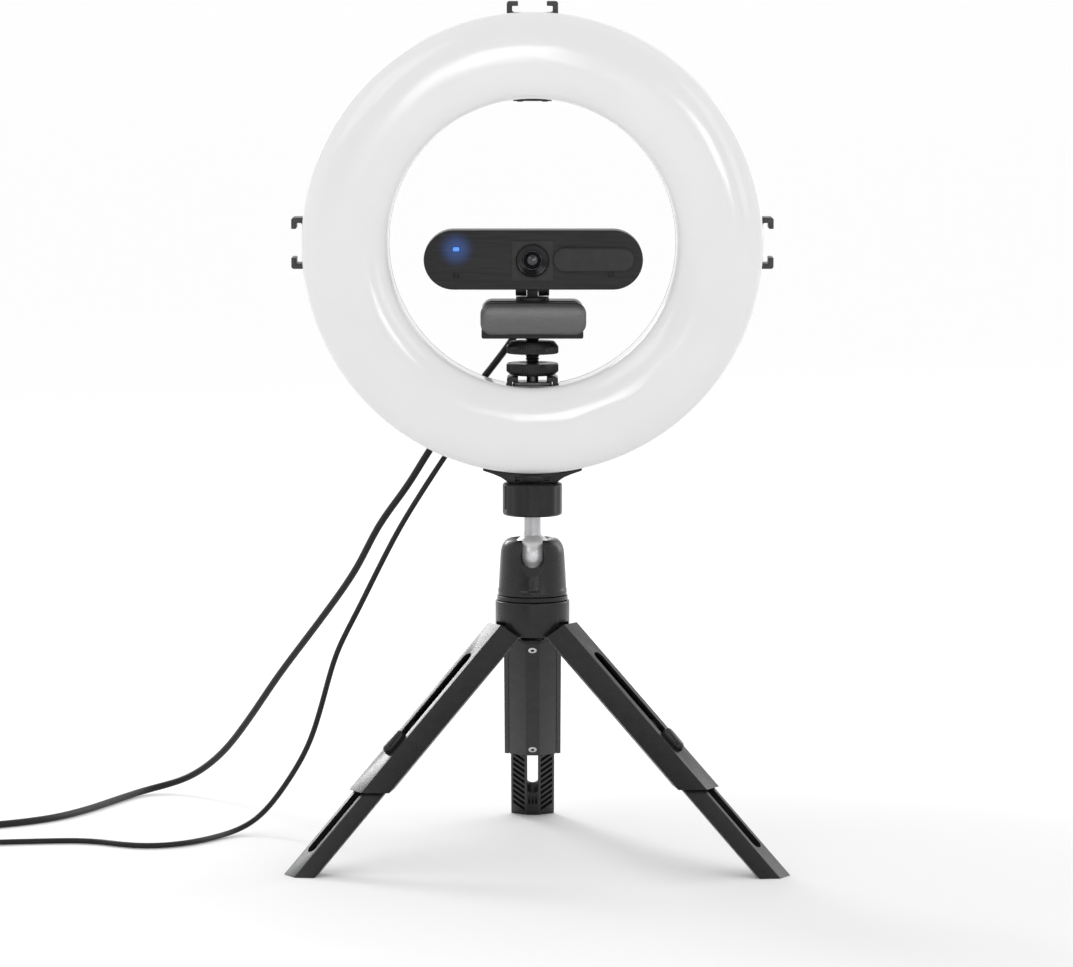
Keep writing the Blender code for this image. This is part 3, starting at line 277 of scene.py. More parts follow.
def smooth_route(points, spacing):
    """Even points on a smooth curve through the route's points."""
    route = [Vector(p) for p in points]
    ends = [2 * route[0] - route[1]] + route + [2 * route[-1] - route[-2]]
    fine = []
    for k in range(len(route) - 1):
        a, b, c, d = ends[k:k + 4]
        for n in range(40):
            t = n / 40
            fine.append(0.5 * (2 * b + (c - a) * t + (2 * a - 5 * b + 4 * c - d) * t * t
                               + (3 * b - a - 3 * c + d) * t ** 3))
    fine.append(route[-1])
    reach = [0.0]
    for first, second in zip(fine, fine[1:]):
        reach.append(reach[-1] + (second - first).length)
    count = max(2, round(reach[-1] / spacing))
    even, at = [], 0
    for k in range(count + 1):
        target = reach[-1] * k / count
        while at < len(fine) - 2 and reach[at + 1] < target:
            at += 1
        part = (target - reach[at]) / (reach[at + 1] - reach[at])
        even.append(fine[at].lerp(fine[at + 1], part))
    return even


def coil_points(centre, middle, pitch, turns, levels, start, finish, step=9.0):
    """Clockwise turns on two levels: inwards on the floor, up, and outwards on top of them."""
    radii = [middle + pitch * ((turns - 1) / 2 - k) for k in range(turns)]
    order = [(r, levels[0]) for r in radii] + [(r, levels[1]) for r in reversed(radii)]
    total = 360.0 * (len(order) - 1) + (start - finish) % 360.0
    points = []
    for n in range(int(total / step) + 1):
        gone = n * step
        lap, part = divmod(gone, 360.0)
        radius, level = order[int(lap)]
        if int(lap) + 1 < len(order):
            next_radius, next_level = order[int(lap) + 1]
            sideways = smooth(part, 210.0, 280.0)
            upwards = smooth(part, 285.0, 355.0)
            radius += (next_radius - radius) * sideways
            level += (next_level - level) * upwards
        angle = math.radians(start - gone)
        spot = (centre[0] + radius * math.cos(angle), centre[1] + radius * math.sin(angle), level)
        points.append(Vector(spot))
    return points


def smooth(value, low, high):
    t = min(1.0, max(0.0, (value - low) / (high - low)))
    return t * t * (3 - 2 * t)


def tube(points, radius, first, last, sides=18):
    """A round tube along part of a line of points in mm."""
    bm = bmesh.new()
    rings = []
    normal = Vector((0.3, 0.2, 1.0)).normalized()
    for k in range(first, last + 1):
        way = (points[min(k + 1, len(points) - 1)] - points[max(k - 1, 0)]).normalized()
        normal = (normal - way * normal.dot(way)).normalized()
        side = way.cross(normal)
        turns = [2 * math.pi * n / sides for n in range(sides)]
        rings.append([bm.verts.new(points[k] + (normal * math.cos(a) + side * math.sin(a)) * radius)
                      for a in turns])
    for lower, upper in zip(rings, rings[1:]):
        stitch(bm, lower, upper)
    bm.faces.new(rings[0])
    bm.faces.new(rings[-1])
    return bm


# ---- materials

def shader_of(name):
    paint = bpy.data.materials.new(name)
    paint.use_nodes = True
    tree = paint.node_tree
    return paint, tree, tree.nodes["Principled BSDF"]


def put(node, **values):
    for key, value in values.items():
        node.inputs[key.replace("_", " ")].default_value = value


def noise(tree, scale, detail=3.0, stretch=(1, 1, 1)):
    """Noise in the object's own metres; stretch makes it run along an axis."""
    place = tree.nodes.new("ShaderNodeTexCoord")
    mapping = tree.nodes.new("ShaderNodeMapping")
    put(mapping, Scale=stretch)
    texture = tree.nodes.new("ShaderNodeTexNoise")
    put(texture, Scale=scale, Detail=detail)
    tree.links.new(place.outputs["Object"], mapping.inputs["Vector"])
    tree.links.new(mapping.outputs["Vector"], texture.inputs["Vector"])
    return texture.outputs["Fac"]


def ramp(tree, factor, low, high):
    """A colour between two, by a factor."""
    node = tree.nodes.new("ShaderNodeValToRGB")
    for element, position, colour in zip(node.color_ramp.elements, (0.3, 0.7), (low, high)):
        element.position, element.color = position, (*colour, 1)
    tree.links.new(factor, node.inputs["Fac"])
    return node.outputs["Color"]


def remap(tree, factor, low, high, span=(0.25, 0.75), curve="LINEAR"):
    node = tree.nodes.new("ShaderNodeMapRange")
    node.interpolation_type = curve
    put(node, From_Min=span[0], From_Max=span[1], To_Min=low, To_Max=high)
    tree.links.new(factor, node.inputs["Value"])
    return node.outputs["Result"]


def fade(tree, output, operation, vector, low, high, span, curve="SMOOTHSTEP"):
    """A value that goes from low to high with the distance from a point, or towards a direction."""
    place = tree.nodes.new("ShaderNodeTexCoord")
    measure = tree.nodes.new("ShaderNodeVectorMath")
    measure.operation = operation
    measure.inputs[1].default_value = vector
    tree.links.new(place.outputs[output], measure.inputs[0])
    return remap(tree, measure.outputs["Value"], low, high, span, curve)


def surface(name, low, high, rough, tone=220.0, grain=2600.0, depth=0.00002, stretch=(1, 1, 1), **fixed):
    """A moulded or machined surface: slow colour change, uneven gloss and a fine grain."""
    paint, tree, shader = shader_of(name)
    put(shader, Base_Color=(*high, 1), Specular_IOR_Level=0.3)
    tree.links.new(ramp(tree, noise(tree, tone, 4.0, stretch), low, high), shader.inputs["Base Color"])
    tree.links.new(remap(tree, noise(tree, grain * 0.5, 2.0, stretch), *rough), shader.inputs["Roughness"])
    bump = tree.nodes.new("ShaderNodeBump")
    put(bump, Strength=1.0, Distance=depth)
    tree.links.new(noise(tree, grain, 3.0, stretch), bump.inputs["Height"])
    tree.links.new(bump.outputs["Normal"], shader.inputs["Normal"])
    put(shader, **fixed)
    return paint


def grey(name, low, high, rough, blue=0.001, **more):
    """A surface between two almost neutral greys."""
    return surface(name, (low, low, low + blue), (high, high, high + blue), rough, **more)


def glow_panel(name, centre):
    """The webcam's brushed face, with the status light's blue spill painted on it as a glow."""
    paint = grey(name, 0.010, 0.018, (0.34, 0.5), tone=900.0, grain=2400.0, depth=0.000012,
                 stretch=(0.06, 1, 1), Metallic=0.25)
    tree = paint.node_tree
    shader = tree.nodes["Principled BSDF"]
    put(shader, Emission_Color=(0.10, 0.28, 0.95, 1))
    # painted light: blue emission that fades out within 9.5 mm of the status light
    painted_spill = fade(tree, "Object", "DISTANCE", home(centre), 0.20, 0.0, (0.0, 0.0095), "SMOOTHERSTEP")
    tree.links.new(painted_spill, shader.inputs["Emission Strength"])
    return paint


SKY, SKY_DARK = 1.105, 0.06
DARK_SIDE = (0.0, -0.985, 0.174)


def floor_paint():
    """Pale studio paper with a painted glow: its emission grows with distance from the object, so it turns
    white further out and stays darker near it.
    """
    paint, tree, shader = shader_of("floor_paper")
    put(shader, Base_Color=(0.69, 0.69, 0.69, 1), Roughness=0.75, Emission_Color=(1, 1, 1, 1))
    # painted glow: emission strength goes from 0.02 near the object to 0.26 further out
    painted_glow = fade(tree, "Object", "DISTANCE", (0.10, -0.10, 0), 0.02, 0.26, (0.10, 0.55))
    tree.links.new(painted_glow, shader.inputs["Emission Strength"])
    return paint


LED_AT = (-33.4, -12.0, 268.9)

PAINTS = {
    "opal": grey("opal", 0.735, 0.755, (0.10, 0.13), blue=0.0, tone=30.0, grain=500.0, depth=0.0000005),
    "housing": grey("housing_plastic", 0.008, 0.012, (0.30, 0.42)),
    "board": surface("board_lacquer", (0.68, 0.69, 0.66), (0.78, 0.78, 0.75), (0.4, 0.6)),
    "shoe": grey("shoe_plastic", 0.006, 0.010, (0.26, 0.36)),
    "rail": grey("rail_plastic", 0.035, 0.052, (0.34, 0.46)),
    "brass": surface("turned_brass", (0.60, 0.42, 0.19), (0.74, 0.55, 0.28), (0.24, 0.4), Metallic=1.0),
    "steel": grey("polished_steel", 0.50, 0.60, (0.22, 0.30), blue=0.01, grain=1500.0, depth=0.000001,
                  stretch=(1, 1, 4), Metallic=1.0),
    # painted light and shade: the one steel ball stem gets a darker paint on the stem and a brighter one on
    # the ball
    "stem_satin_steel_painted_dark": grey("stem_satin_steel_painted_dark", 0.40, 0.46, (0.34, 0.38), blue=0.01, grain=900.0, depth=0.0000004,
                        Metallic=0.85),
    "ball_steel_painted_bright": grey("ball_steel_painted_bright", 0.66, 0.72, (0.36, 0.40), blue=0.01, grain=900.0, depth=0.0000003,
                       Metallic=0.5),
    "seat": surface("acetal_seat", (0.45, 0.45, 0.43), (0.55, 0.55, 0.53), (0.4, 0.5)),
    "leg": grey("leg_plastic", 0.009, 0.014, (0.24, 0.34)),
    "cover": grey("cover_plastic", 0.016, 0.023, (0.30, 0.42)),
    "slide": grey("slide_plastic", 0.010, 0.015, (0.28, 0.38)),
    "button": grey("button_plastic", 0.012, 0.018, (0.14, 0.22),
                      depth=0.000004),
    "grey": grey("satin_grey", 0.105, 0.113, (0.27, 0.31), tone=400.0,
                    grain=2600.0, depth=0.0000004, Metallic=0.7),
    "shell": grey("webcam_plastic", 0.006, 0.010, (0.34, 0.48)),
    "panel": glow_panel("brushed_panel", LED_AT),
    "slider": grey("slider_plastic", 0.016, 0.022, (0.36, 0.5)),
    "lens": surface("lens_black", (0.003, 0.003, 0.003), (0.007, 0.007, 0.008), (0.18, 0.3), depth=0.000004),
    "glass": surface("lens_glass", (0.006, 0.007, 0.010), (0.012, 0.012, 0.016), (0.02, 0.04), depth=0.000001,
                     Coat_Weight=1.0, Coat_Roughness=0.02),
    "led": surface("status_blue", (0.05, 0.16, 0.6), (0.10, 0.28, 0.9), (0.2, 0.3), depth=0.000003,
                   Emission_Color=(0.10, 0.30, 0.9, 1), Emission_Strength=0.42),
    "cord": grey("cord_vinyl", 0.005, 0.009, (0.34, 0.48), grain=1800.0),
    "plug": grey("plug_vinyl", 0.012, 0.020, (0.38, 0.52)),
    "screw": surface("screw_steel", (0.62, 0.62, 0.63), (0.80, 0.80, 0.80), (0.16, 0.3), depth=0.000003,
                     Metallic=1.0),
    "dark_steel": surface("dark_steel", (0.05, 0.05, 0.052), (0.09, 0.09, 0.092), (0.24, 0.36), Metallic=0.9),
}


def make(name, bm, body, paint, replaces=(), sharp=30.0, place=None):
    return piece(name, bm, body, PAINTS[paint], replaces, sharp, place)


# ---- stage

def light_sky(tree):
    """White all round, with a dark studio side behind the camera that gives the plastics their depth."""
    background = tree.nodes["Background"]
    put(background, Color=(1, 1, 1, 1))
    strength = fade(tree, "Generated", "DOT_PRODUCT", DARK_SIDE, SKY, SKY_DARK, (0.62, 0.92))
    tree.links.new(strength, background.inputs["Strength"])


def make_stage():
    bm = bmesh.new()
    bmesh.ops.create_grid(bm, x_segments=8, y_segments=8, size=70.0)
    floor = mesh_object("floor", bm)
    floor.data.materials.append(floor_paint())
    world = bpy.data.worlds.new("studio")
    world.use_nodes = True
    light_sky(world.node_tree)
    bpy.context.scene.world = world
    bpy.context.scene.view_settings.view_transform = "Standard"
    aim = (0, 0, 0.18)
    lamp("glint_top", (-0.06, -2.2, 0.42), aim, (0.20, 0.26), 2.0)
    lamp("glint_side", (0.53, -2.15, 0.45), aim, (0.20, 0.26), 2.2)
    lamp("soft_left", (-1.0, -1.9, 1.2), aim, (0.9, 0.9), 7.0)
    lamp("soft_right", (1.2, -1.8, 0.8), aim, (0.5, 1.0), 4.0)
    lamp("rim_left", (-0.97, 1.34, 1.01), aim, (0.5, 0.8), 14.0)
    lamp("rim_right", (1.3, 0.9, 0.7), aim, (0.5, 1.0), 5.0)


# ---- ring head

RING_Z = 271.0
RING_OUTER, RING_INNER = 101.5, 63.2
RING_MIDDLE = (RING_OUTER + RING_INNER) / 2
RING_FRONT, RING_RIM, RING_BACK = -13.0, -4.0, 14.0
RING_STEPS = 180
GAP = 0.3
WALL = 2.0
SHOE_HALF, TOP_PLATE_HALF = 11.25, 8.5
SHOE_FRONT, SHOE_BACK = -3.0, 13.0
RING_CENTRE = (0, 0, RING_Z)


def dome(inner, outer, rim, crest, steps):
    half = (outer - inner) / 2
    points = []
    for k in range(steps + 1):
        across = math.cos(math.pi * k / steps)
        rise = (1 - abs(across) ** 2.4) ** (1 / 2.4)
        points.append((RING_MIDDLE + half * across, rim + (crest - rim) * rise))
    return points


def round_corner(corner, before, after, radius, steps=5):
    """Points round a profile's corner, between its neighbours."""
    corner, before, after = Vector(corner), Vector(before), Vector(after)
    start = corner + (before - corner).normalized() * radius
    end = corner + (after - corner).normalized() * radius
    made = []
    for k in range(steps + 1):
        t = k / steps
        made.append(tuple(start * (1 - t) ** 2 + corner * 2 * t * (1 - t) + end * t * t))
    return made


def rounded(profile, radii, steps=5):
    """A profile with the named corners rounded: radii maps a point's index to its radius."""
    made = []
    for k, point in enumerate(profile):
        if k in radii:
            made += round_corner(point, profile[k - 1], profile[(k + 1) % len(profile)], radii[k], steps)
        else:
            made.append(tuple(point))
    return made


def shoe_frame(turn, side):
    face = shift(*RING_CENTRE) @ spin(turn, "Y") @ shift(0, 0, RING_OUTER if side > 0 else RING_INNER)
    return face if side > 0 else face @ spin(180, "Y")


def screw_head(radius, height, slots=2, steps=32):
    """A low round head with a cross or hexagon recess, standing along +Z from Z = 0."""
    profile = [(0, height), (radius - 0.35, height), (radius - 0.1, height - 0.12), (radius, height - 0.4),
               (radius, -0.6), (0, -0.6)]
    head = lathe(profile, steps)
    if slots == 6:
        return combine(head, [prism(circle(radius * 0.5, 6), height - 0.9, height + 1, "Z")])
    bars = [prism(rounded_box(radius * 0.62, 0.28, 0.1, steps=2), height - 0.6, height + 1, "Z"),
            prism(rounded_box(0.28, radius * 0.62, 0.1, steps=2), height - 0.6, height + 1, "Z")]
    return combine(head, bars)


def shoe_windows():
    """Cutters that give the four shoes and the top plate their room in the ring's walls."""
    tools = []
    for turn, side in ((0, 1), (90, 1), (-90, 1), (180, -1), (0, -1)):
        half = (TOP_PLATE_HALF if (turn, side) == (0, -1) else SHOE_HALF) + GAP
        window = prism(box(-half, -2.2, half, 5), SHOE_FRONT - GAP, SHOE_BACK + GAP)
        window.transform(shoe_frame(turn, side))
        tools.append(window)
    return tools


def make_diffuser():
    """The opal ring, whose inner wall reaches back through the hole."""
    outer, inner = RING_OUTER - 0.4, RING_INNER + 0.05
    back, skirt = RING_RIM - GAP, 10.4
    shell = dome(inner, outer, RING_RIM - 1.6, RING_FRONT, 36)
    hollow = dome(inner + WALL, outer - WALL, RING_RIM - 1.8, RING_FRONT + WALL, 16)
    profile = [(outer, back)] + shell + [(inner, skirt), (inner + WALL - 0.6, skirt)] + hollow[::-1]
    ring = lathe(profile + [(outer - WALL, back)], RING_STEPS, "Y", RING_CENTRE)
    make("diffuser", combine(ring, shoe_windows()), "ring_head", "opal", "front_diffuser", 40)


def ring_spot(clock):
    """A place on the back of the ring, looking out of it along +Z of the frame."""
    angle = math.radians(clock)
    place = shift(RING_MIDDLE * math.cos(angle), 12.6, RING_Z + RING_MIDDLE * math.sin(angle))
    return place @ spin(-90, "X")


HOUSING_SCREWS = (18, 54, 126, 162, 198, 234, 306, 342)


def make_housing():
    low, high = RING_INNER, RING_OUTER - 0.7
    profile = [(high, RING_RIM), (high, RING_BACK), (RING_MIDDLE + 9, RING_BACK), (RING_MIDDLE + 8.6, 13.5),
               (RING_MIDDLE - 8.6, 13.5), (RING_MIDDLE - 9, RING_BACK), (low, RING_BACK), (low, 10.7),
               (low + WALL, 10.7), (low + WALL, RING_BACK - WALL), (high - WALL, RING_BACK - WALL),
               (high - WALL, RING_RIM)]
    pan = lathe(rounded(profile, {1: 4.0, 6: 2.6, 10: 2.4, 0: 0.35}), RING_STEPS, "Y", RING_CENTRE)
    tools = shoe_windows()
    for clock in HOUSING_SCREWS:
        well = lathe([(0, 0), (2.9, 0), (2.9, 8), (0, 8)], 24)
        well.transform(ring_spot(clock))
        tools.append(well)
    for clock in range(78, 103, 3):
        vent = prism(pill(4.5, 0.7, steps=5), -2, 8, "Z")
        vent.transform(ring_spot(clock) @ spin(-clock))
        tools.append(vent)
    make("housing", combine(pan, tools), "ring_head", "housing", "rear_housing", 28)
    for k, clock in enumerate(HOUSING_SCREWS, 1):
        make(f"housing_screw_{k}", screw_head(2.4, 0.7), "ring_head", "dark_steel",
             place=ring_spot(clock) @ Matrix.Rotation(k, 4, "Z"))


def shoe_outline():
    half, cavity, mouth, height, under = SHOE_HALF, 8.9, 6.3, 4.36, 2.26
    right = [(half, -1.9), (half, height - 0.9), (half - 0.3, height - 0.3), (half - 0.9, height),
             (mouth, height), (mouth, under), (cavity, under), (cavity, 0), (cavity - 0.8, -0.5)]
    return right + [(-u, v) for u, v in reversed(right)]


def make_shoes():
    for name, turn, side in (("top", 0, 1), ("right", 90, 1), ("left", -90, 1), ("inner", 180, -1)):
        shoe = soften(prism(shoe_outline(), SHOE_FRONT, SHOE_BACK), 0.4, segments=3)
        paint = "shoe" if name == "inner" else "rail"
        make(f"shoe_{name}_part", shoe, "ring_head", paint, f"shoe_{name}", place=shoe_frame(turn, side))
    plate = prism(box(-TOP_PLATE_HALF, -1.9, TOP_PLATE_HALF, 0.9), SHOE_FRONT, SHOE_BACK)
    make("top_plate_part", soften(plate, 0.35, segments=3), "ring_head", "shoe", "top_plate",
         place=shoe_frame(0, -1))
    for x in (-5.5, 5.5):
        make(f"top_plate_screw_{'l' if x < 0 else 'r'}", screw_head(1.5, 0.5), "ring_head", "dark_steel",
             place=shoe_frame(0, -1) @ shift(x, 5, 0.9))


def make_bracket():
    make("bracket", soften(from_node("lower_bracket"), 0.45, 35), "ring_head", "housing", "lower_bracket")
    rib = soften(prism(box(-4.7, 165.6, 4.3, 168.9), -4.35, -3.5), 0.25)
    make("bracket_rib", rib, "ring_head", "shoe")
    for side, left, right in (("l", -8.0, -5.1), ("r", 4.7, 7.7)):
        make(f"bracket_fill_{side}", prism(box(left, 166.0, right, 168.3), -1.0, 11.5), "ring_head", "lens")

    def grip(radius, height, angle):
        wave = math.cos(14 * (angle - 0.1))
        return radius - (0.28 * (0.5 - 0.5 * wave) if radius > 11 and 152.5 < height < 164.6 else 0.0)

    profile = [(0, 165.2), (12.0, 165.2), (12.7, 165.0), (13.1, 164.6), (13.2, 164.2), (13.2, 163.0),
               (13.2, 160.0), (13.2, 156.0), (13.2, 153.4), (13.2, 152.6), (13.05, 151.7), (12.5, 151.15),
               (12.1, 151.0), (5.1, 151.0), (5.1, 163.5), (0, 163.5)]
    make("collar", lathe(profile, 168, shape=grip), "ring_head", "shoe", "mount_collar", 28)
    tab = soften(prism(rounded_box(1.3, 5.2, 0.6, (0, 159.0), 3), -13.45, -12.0), 0.25)
    make("collar_mark", tab, "ring_head", "shoe", place=spin(-68))
    thread = [(4.8, 151.2), (4.8, 163.2)]
    for k in range(18):
        thread += [(3.5, 163.2 - k * 0.635), (3.75, 163.2 - (k + 0.5) * 0.635)]
    make("insert", lathe(thread + [(3.5, 151.2)], 48), "ring_head", "brass", "thread_insert")


# ---- ball head

BALL_Z, BALL_RADIUS = 133.6, 9.3
SOCKET_RADIUS = 9.6
STEM_RADIUS = 3.65


def socket_wall(start, span, steps=8):
    """Points of the ball's seat, from a height over the ball's centre."""
    heights = [start + span * k / steps for k in range(steps + 1)]
    return [(math.sqrt(SOCKET_RADIUS ** 2 - h * h), BALL_Z + h) for h in heights]


def make_ball_head():
    root = math.degrees(math.acos(STEM_RADIUS / BALL_RADIUS))
    ball = [(BALL_RADIUS * math.cos(math.radians(a)), BALL_Z + BALL_RADIUS * math.sin(math.radians(a)))
            for a in [root + (-90 - root) * k / 28 for k in range(28)]]
    neck = [(STEM_RADIUS, 150.4), (STEM_RADIUS, 144.6), (3.7, 143.4), (3.8, 142.5)]
    stud = [(0, 162.6), (2.5, 162.6)]
    for k in range(16):
        stud += [(3.15, 162.0 - k * 0.7), (2.75, 161.65 - k * 0.7)]
    stem = lathe(stud + [(3.15, 150.7)] + neck + [(3.85, 141.6), (0, 141.6)], 72)
    # painted light and shade: the stem in the darker steel paint, the ball in the brighter one
    make("stem", stem, "ball", "stem_satin_steel_painted_dark", "ball_stem", 50)
    make("stem_ball", lathe([(0, 142.0)] + ball + [(0, BALL_Z - BALL_RADIUS)], 72), "ball", "ball_steel_painted_bright",
         "ball_stem", 50)

    outer = [(15.0, 115.8), (15.2, 116.0), (15.2, 118.2), (15.05, 118.5), (14.95, 118.9), (14.6, 126.0),
             (14.1, 134.0), (13.85, 135.8), (13.4, 137.4), (12.7, 138.7), (11.9, 139.7), (11.1, 140.3),
             (10.5, 140.5), (10.1, 140.45), (9.9, 140.2)]
    socket = socket_wall(5.6, -5.6)
    sleeve = lathe(outer + socket + [(9.7, 120.0), (12.7, 119.8), (12.7, 115.8)], 120)

    def notch(size):
        half, floor = size
        return [(half, 146), (-half, 146)] + arc(half, 180, 360, 24, (0, floor))

    steps = [(-20.0, (9.6, 130.2)), (-14.2, (6.3, 131.6)), (-12.9, (5.0, 132.5)), (-12.0, (4.4, 132.9)),
             (0, (4.4, 132.9))]
    mark = prism(rounded_box(0.25, 1.6, 0.2, (0, 121.0), 2), -20, -14.45)
    housing = combine(sleeve, [layers(notch, steps), mark])
    make("clamp_sleeve", soften(housing, 0.22, 40, 2), "lock_sleeve", "leg", "ball_housing", 32)
    cup = [(0, 124.0)] + socket_wall(-4.6, -4.95)[::-1] + [(9.35, 129.0), (9.35, 120.2), (0, 120.2)]
    make("cup", lathe(cup, 64), "lock_sleeve", "seat", "ball_seat")
    washer = rounded([(15.6, 113.6), (15.6, 115.5), (12.8, 115.5), (12.8, 113.6)], {0: 0.3, 1: 0.3}, 3)
    make("washer", lathe(washer, 96), "base", "shoe", "lock_washer")


LEG_TURNS = (210.0, 330.0, 90.0)
LEG_ANGLES = [math.radians(angle) for angle in (45.3, 46.5, 44.0)]
HINGE_REACH, HINGE_Z = 8.0, 106.0


def leg_frame(turn, tilt=0.0):
    return spin(turn - 90.0) @ shift(0, HINGE_REACH, HINGE_Z) @ Matrix.Rotation(tilt, 4, "X")


def make_crown():
    profile = rounded([(2.1, 98.2), (16.4, 98.2), (16.4, 113.3), (12.4, 113.3), (12.4, 119.5), (4.0, 119.5),
                       (4.0, 116.5), (2.1, 116.5)], {1: 0.6, 2: 0.7}, 4)
    crown = lathe(profile, 144)
    slot = [(-3.8, -11), (10, -11), (10, -1.7), (6.0, -1.7), (4.3, 0.0)]
    slot += arc(3.9, 12, 167, 14) + [(-3.8, 0.4)]
    tools = []
    for turn, angle in zip(LEG_TURNS, LEG_ANGLES):
        for outline, half, tilt in ((box(-30, -60, 30, -9.4), 30, angle), (slot, 4.3, 0),
                                    (circle(1.8, 24), 9.3, 0)):
            tool = prism(outline, -half, half, "X")
            tool.transform(leg_frame(turn, tilt))
            tools.append(tool)
    make("hub", soften(combine(crown, tools), 0.2, 40, 2), "base", "leg", "crown", 30)
    make("hub_bolt", screw_head(3.6, 2.3, 6), "base", "screw", "crown_bolt", place=shift(0, 0, 117.0))
    shank = lathe([(0, 117.0), (1.7, 117.0), (1.7, 99.0), (1.4, 98.6), (0, 98.6)], 32)
    make("hub_bolt_shank", shank, "base", "screw")


# ---- legs

SECTION = [(-3.1, -6.2), (3.1, -6.2), (12.8, -0.6), (5.5, 6.3), (-5.5, 6.3), (-12.8, -0.6)]


def inset(outline, distance):
    count = len(outline)
    lines = []
    for k in range(count):
        start, end = Vector(outline[k]), Vector(outline[(k + 1) % count])
        way = (end - start).normalized()
        lines.append((start + Vector((-way.y, way.x)) * distance, way))
    moved = []
    for k in range(count):
        (p, d), (q, e) = lines[k - 1], lines[k]
        across = d.x * e.y - d.y * e.x
        moved.append(tuple(p + d * (((q.x - p.x) * e.y - (q.y - p.y) * e.x) / across)))
    return moved


def down_to(level, across, angle):
    return (HINGE_Z - level + across * math.sin(angle)) / math.cos(angle)


def leg_prism(outline, top, level, angle):
    upper = [Vector((u, v, -top)) for u, v in outline]
    return loft([upper, [Vector((u, v, -down_to(level, v, angle))) for u, v in outline]])


def leg_slot(half_wide, top, bottom, near, far):
    outline = [(v, u) for u, v in pill((bottom - top) / 2, half_wide, (-(top + bottom) / 2, 0), 12)]
    return prism(outline, near, far)


def make_slide(place, angle, body, node):
    """The inner leg: through slot, button groove, and rows of slanting pockets on its inner face."""
    bm = soften(leg_prism(inset(SECTION, 1.6), 66.0, 0.0, angle), 0.5, segments=3)
    tools = [leg_slot(2.45, 92, 126, -8, 8), leg_slot(2.8, 70, 141.5, 1.7, 8)]
    for side in (-1, 1):
        at = 86.5
        while at < 139.0:
            corners = [(3.7, at + 2.1), (9.0, at), (9.0, at + 2.5), (3.7, at + 4.6)]
            near = [Vector((side * x, -12.0, -down)) for x, down in corners]
            far = [Vector((side * x, -2.9 + 0.577 * (x - 3.6), -down)) for x, down in corners]
            tools.append(loft([near, far]))
            at += 4.1
    for x in (-1.6, 0.0, 1.6):
        tools.append(prism(box(x - 0.4, -134.5, x + 0.4, -128.2), -8, -3.2))
    make(f"{body}_tube", combine(bm, tools), body, "slide", node, 28, place)


def make_leg(number, turn, angle):
    name = f"leg_{number}"
    place = leg_frame(turn, angle)
    to_leg = place.inverted()
    sleeve = from_node(f"{name}_sleeve")
    sleeve.transform(to_leg)
    top_notch = prism(box(-5.3, -8, 5.3, -2.6), -12.2, -9.0, "Z")
    sleeve = combine(soften(sleeve, 0.45, 33, 3), [top_notch])
    make(f"{name}_channel", sleeve, name, "leg", f"{name}_sleeve", 30, place)
    cover = from_node(f"{name}_cover")
    cover.transform(to_leg)
    make(f"{name}_plate", soften(cover, 0.12, 25, 2), name, "cover", f"{name}_cover", 25, place)
    for k, at in enumerate((18.4, 91.0), 1):
        spot = place @ shift(0, -6.2, -at) @ spin(90, "X")
        make(f"{name}_screw_{k}", screw_head(1.95, 0.25, 6), name, "screw", place=spot)
    make_slide(place, angle, f"{name}_inner", f"{name}_slide")

    def catch(shrink):
        return [(v, u) for u, v in pill(6.0 - shrink, 2.5 - shrink, (-80.0, 0), 12)]

    steps = [(3.4, 0.0), (7.2, 0.0), (7.9, 0.06), (8.4, 0.25), (8.8, 0.6), (9.1, 1.1), (9.3, 1.8)]
    make(f"{name}_catch", layers(catch, steps), f"{name}_release", "button", f"{name}_button", 50, place)


# ---- webcam

BODY, BODY_HALF, BODY_RADIUS = (0.4, 264.2), 48.0, 13.05
PLATE, PLATE_HALF = (0.4, 238.1), (23.25, 7.1)
TILT_AXIS, JAW_HINGE = (1.0, 252.0), (14.9, 243.0)     # Y and Z
SCREW_Y = 5.0
LENS_Z = 263.9
SLIDER = (26.9, 264.4)


def body_loop(depth, shrink, steps=24):
    outline = pill(BODY_HALF - shrink, BODY_RADIUS - shrink, BODY, steps)
    return [Vector((u, depth, v)) for u, v in outline]


def knurl(count, depth, above):
    def shape(radius, height, angle):
        if radius < above:
            return radius
        return radius - depth * abs(2 * ((angle * count / (2 * math.pi)) % 1.0) - 1.0)

    return shape


def make_adapter():
    foot = soften(prism(rounded_box(8.6, 8.0, 1.5, (0, SCREW_Y)), 208.1, 209.75, "Z"), 0.3)
    make("adapter_plate", foot, "adapter", "dark_steel", "adapter_foot")
    stud = [(0, 208.9), (2.6, 208.9), (2.6, 212.4)]
    pitch = 1.27
    for k in range(16):
        stud += [(2.55, 212.7 + k * pitch), (3.1, 212.7 + (k + 0.5) * pitch)]
    stud += [(2.5, 233.2), (0, 233.2)]
    make("adapter_screw", lathe(stud, 48, centre=(0, SCREW_Y, 0)), "adapter", "dark_steel", sharp=20)
    knob = [(3.5, 212.5), (9.2, 212.5), (9.9, 212.8), (11.2, 214.0), (11.5, 214.4), (11.5, 217.0),
            (11.35, 217.5), (10.9, 217.9), (6.4, 217.9), (6.0, 217.6), (3.5, 217.6)]
    disc = [(3.5, 222.1), (11.0, 222.1), (11.4, 222.4), (11.5, 222.7), (11.5, 225.0), (11.2, 225.5),
            (9.9, 227.2), (9.5, 227.5), (3.5, 227.6)]
    for name, profile, body, node in (("foot_wheel", knob, "knob", "foot_knob"),
                                      ("lock_wheel", disc, "disc", "lock_disc")):
        wheel = lathe(profile, 240, centre=(0, SCREW_Y, 0), shape=knurl(60, 0.35, 11.0))
        make(name, wheel, body, "shoe", node, 40)


def tilt_bore():
    return prism(circle(1.2, 20, TILT_AXIS), -6.3, 6.3, "X")


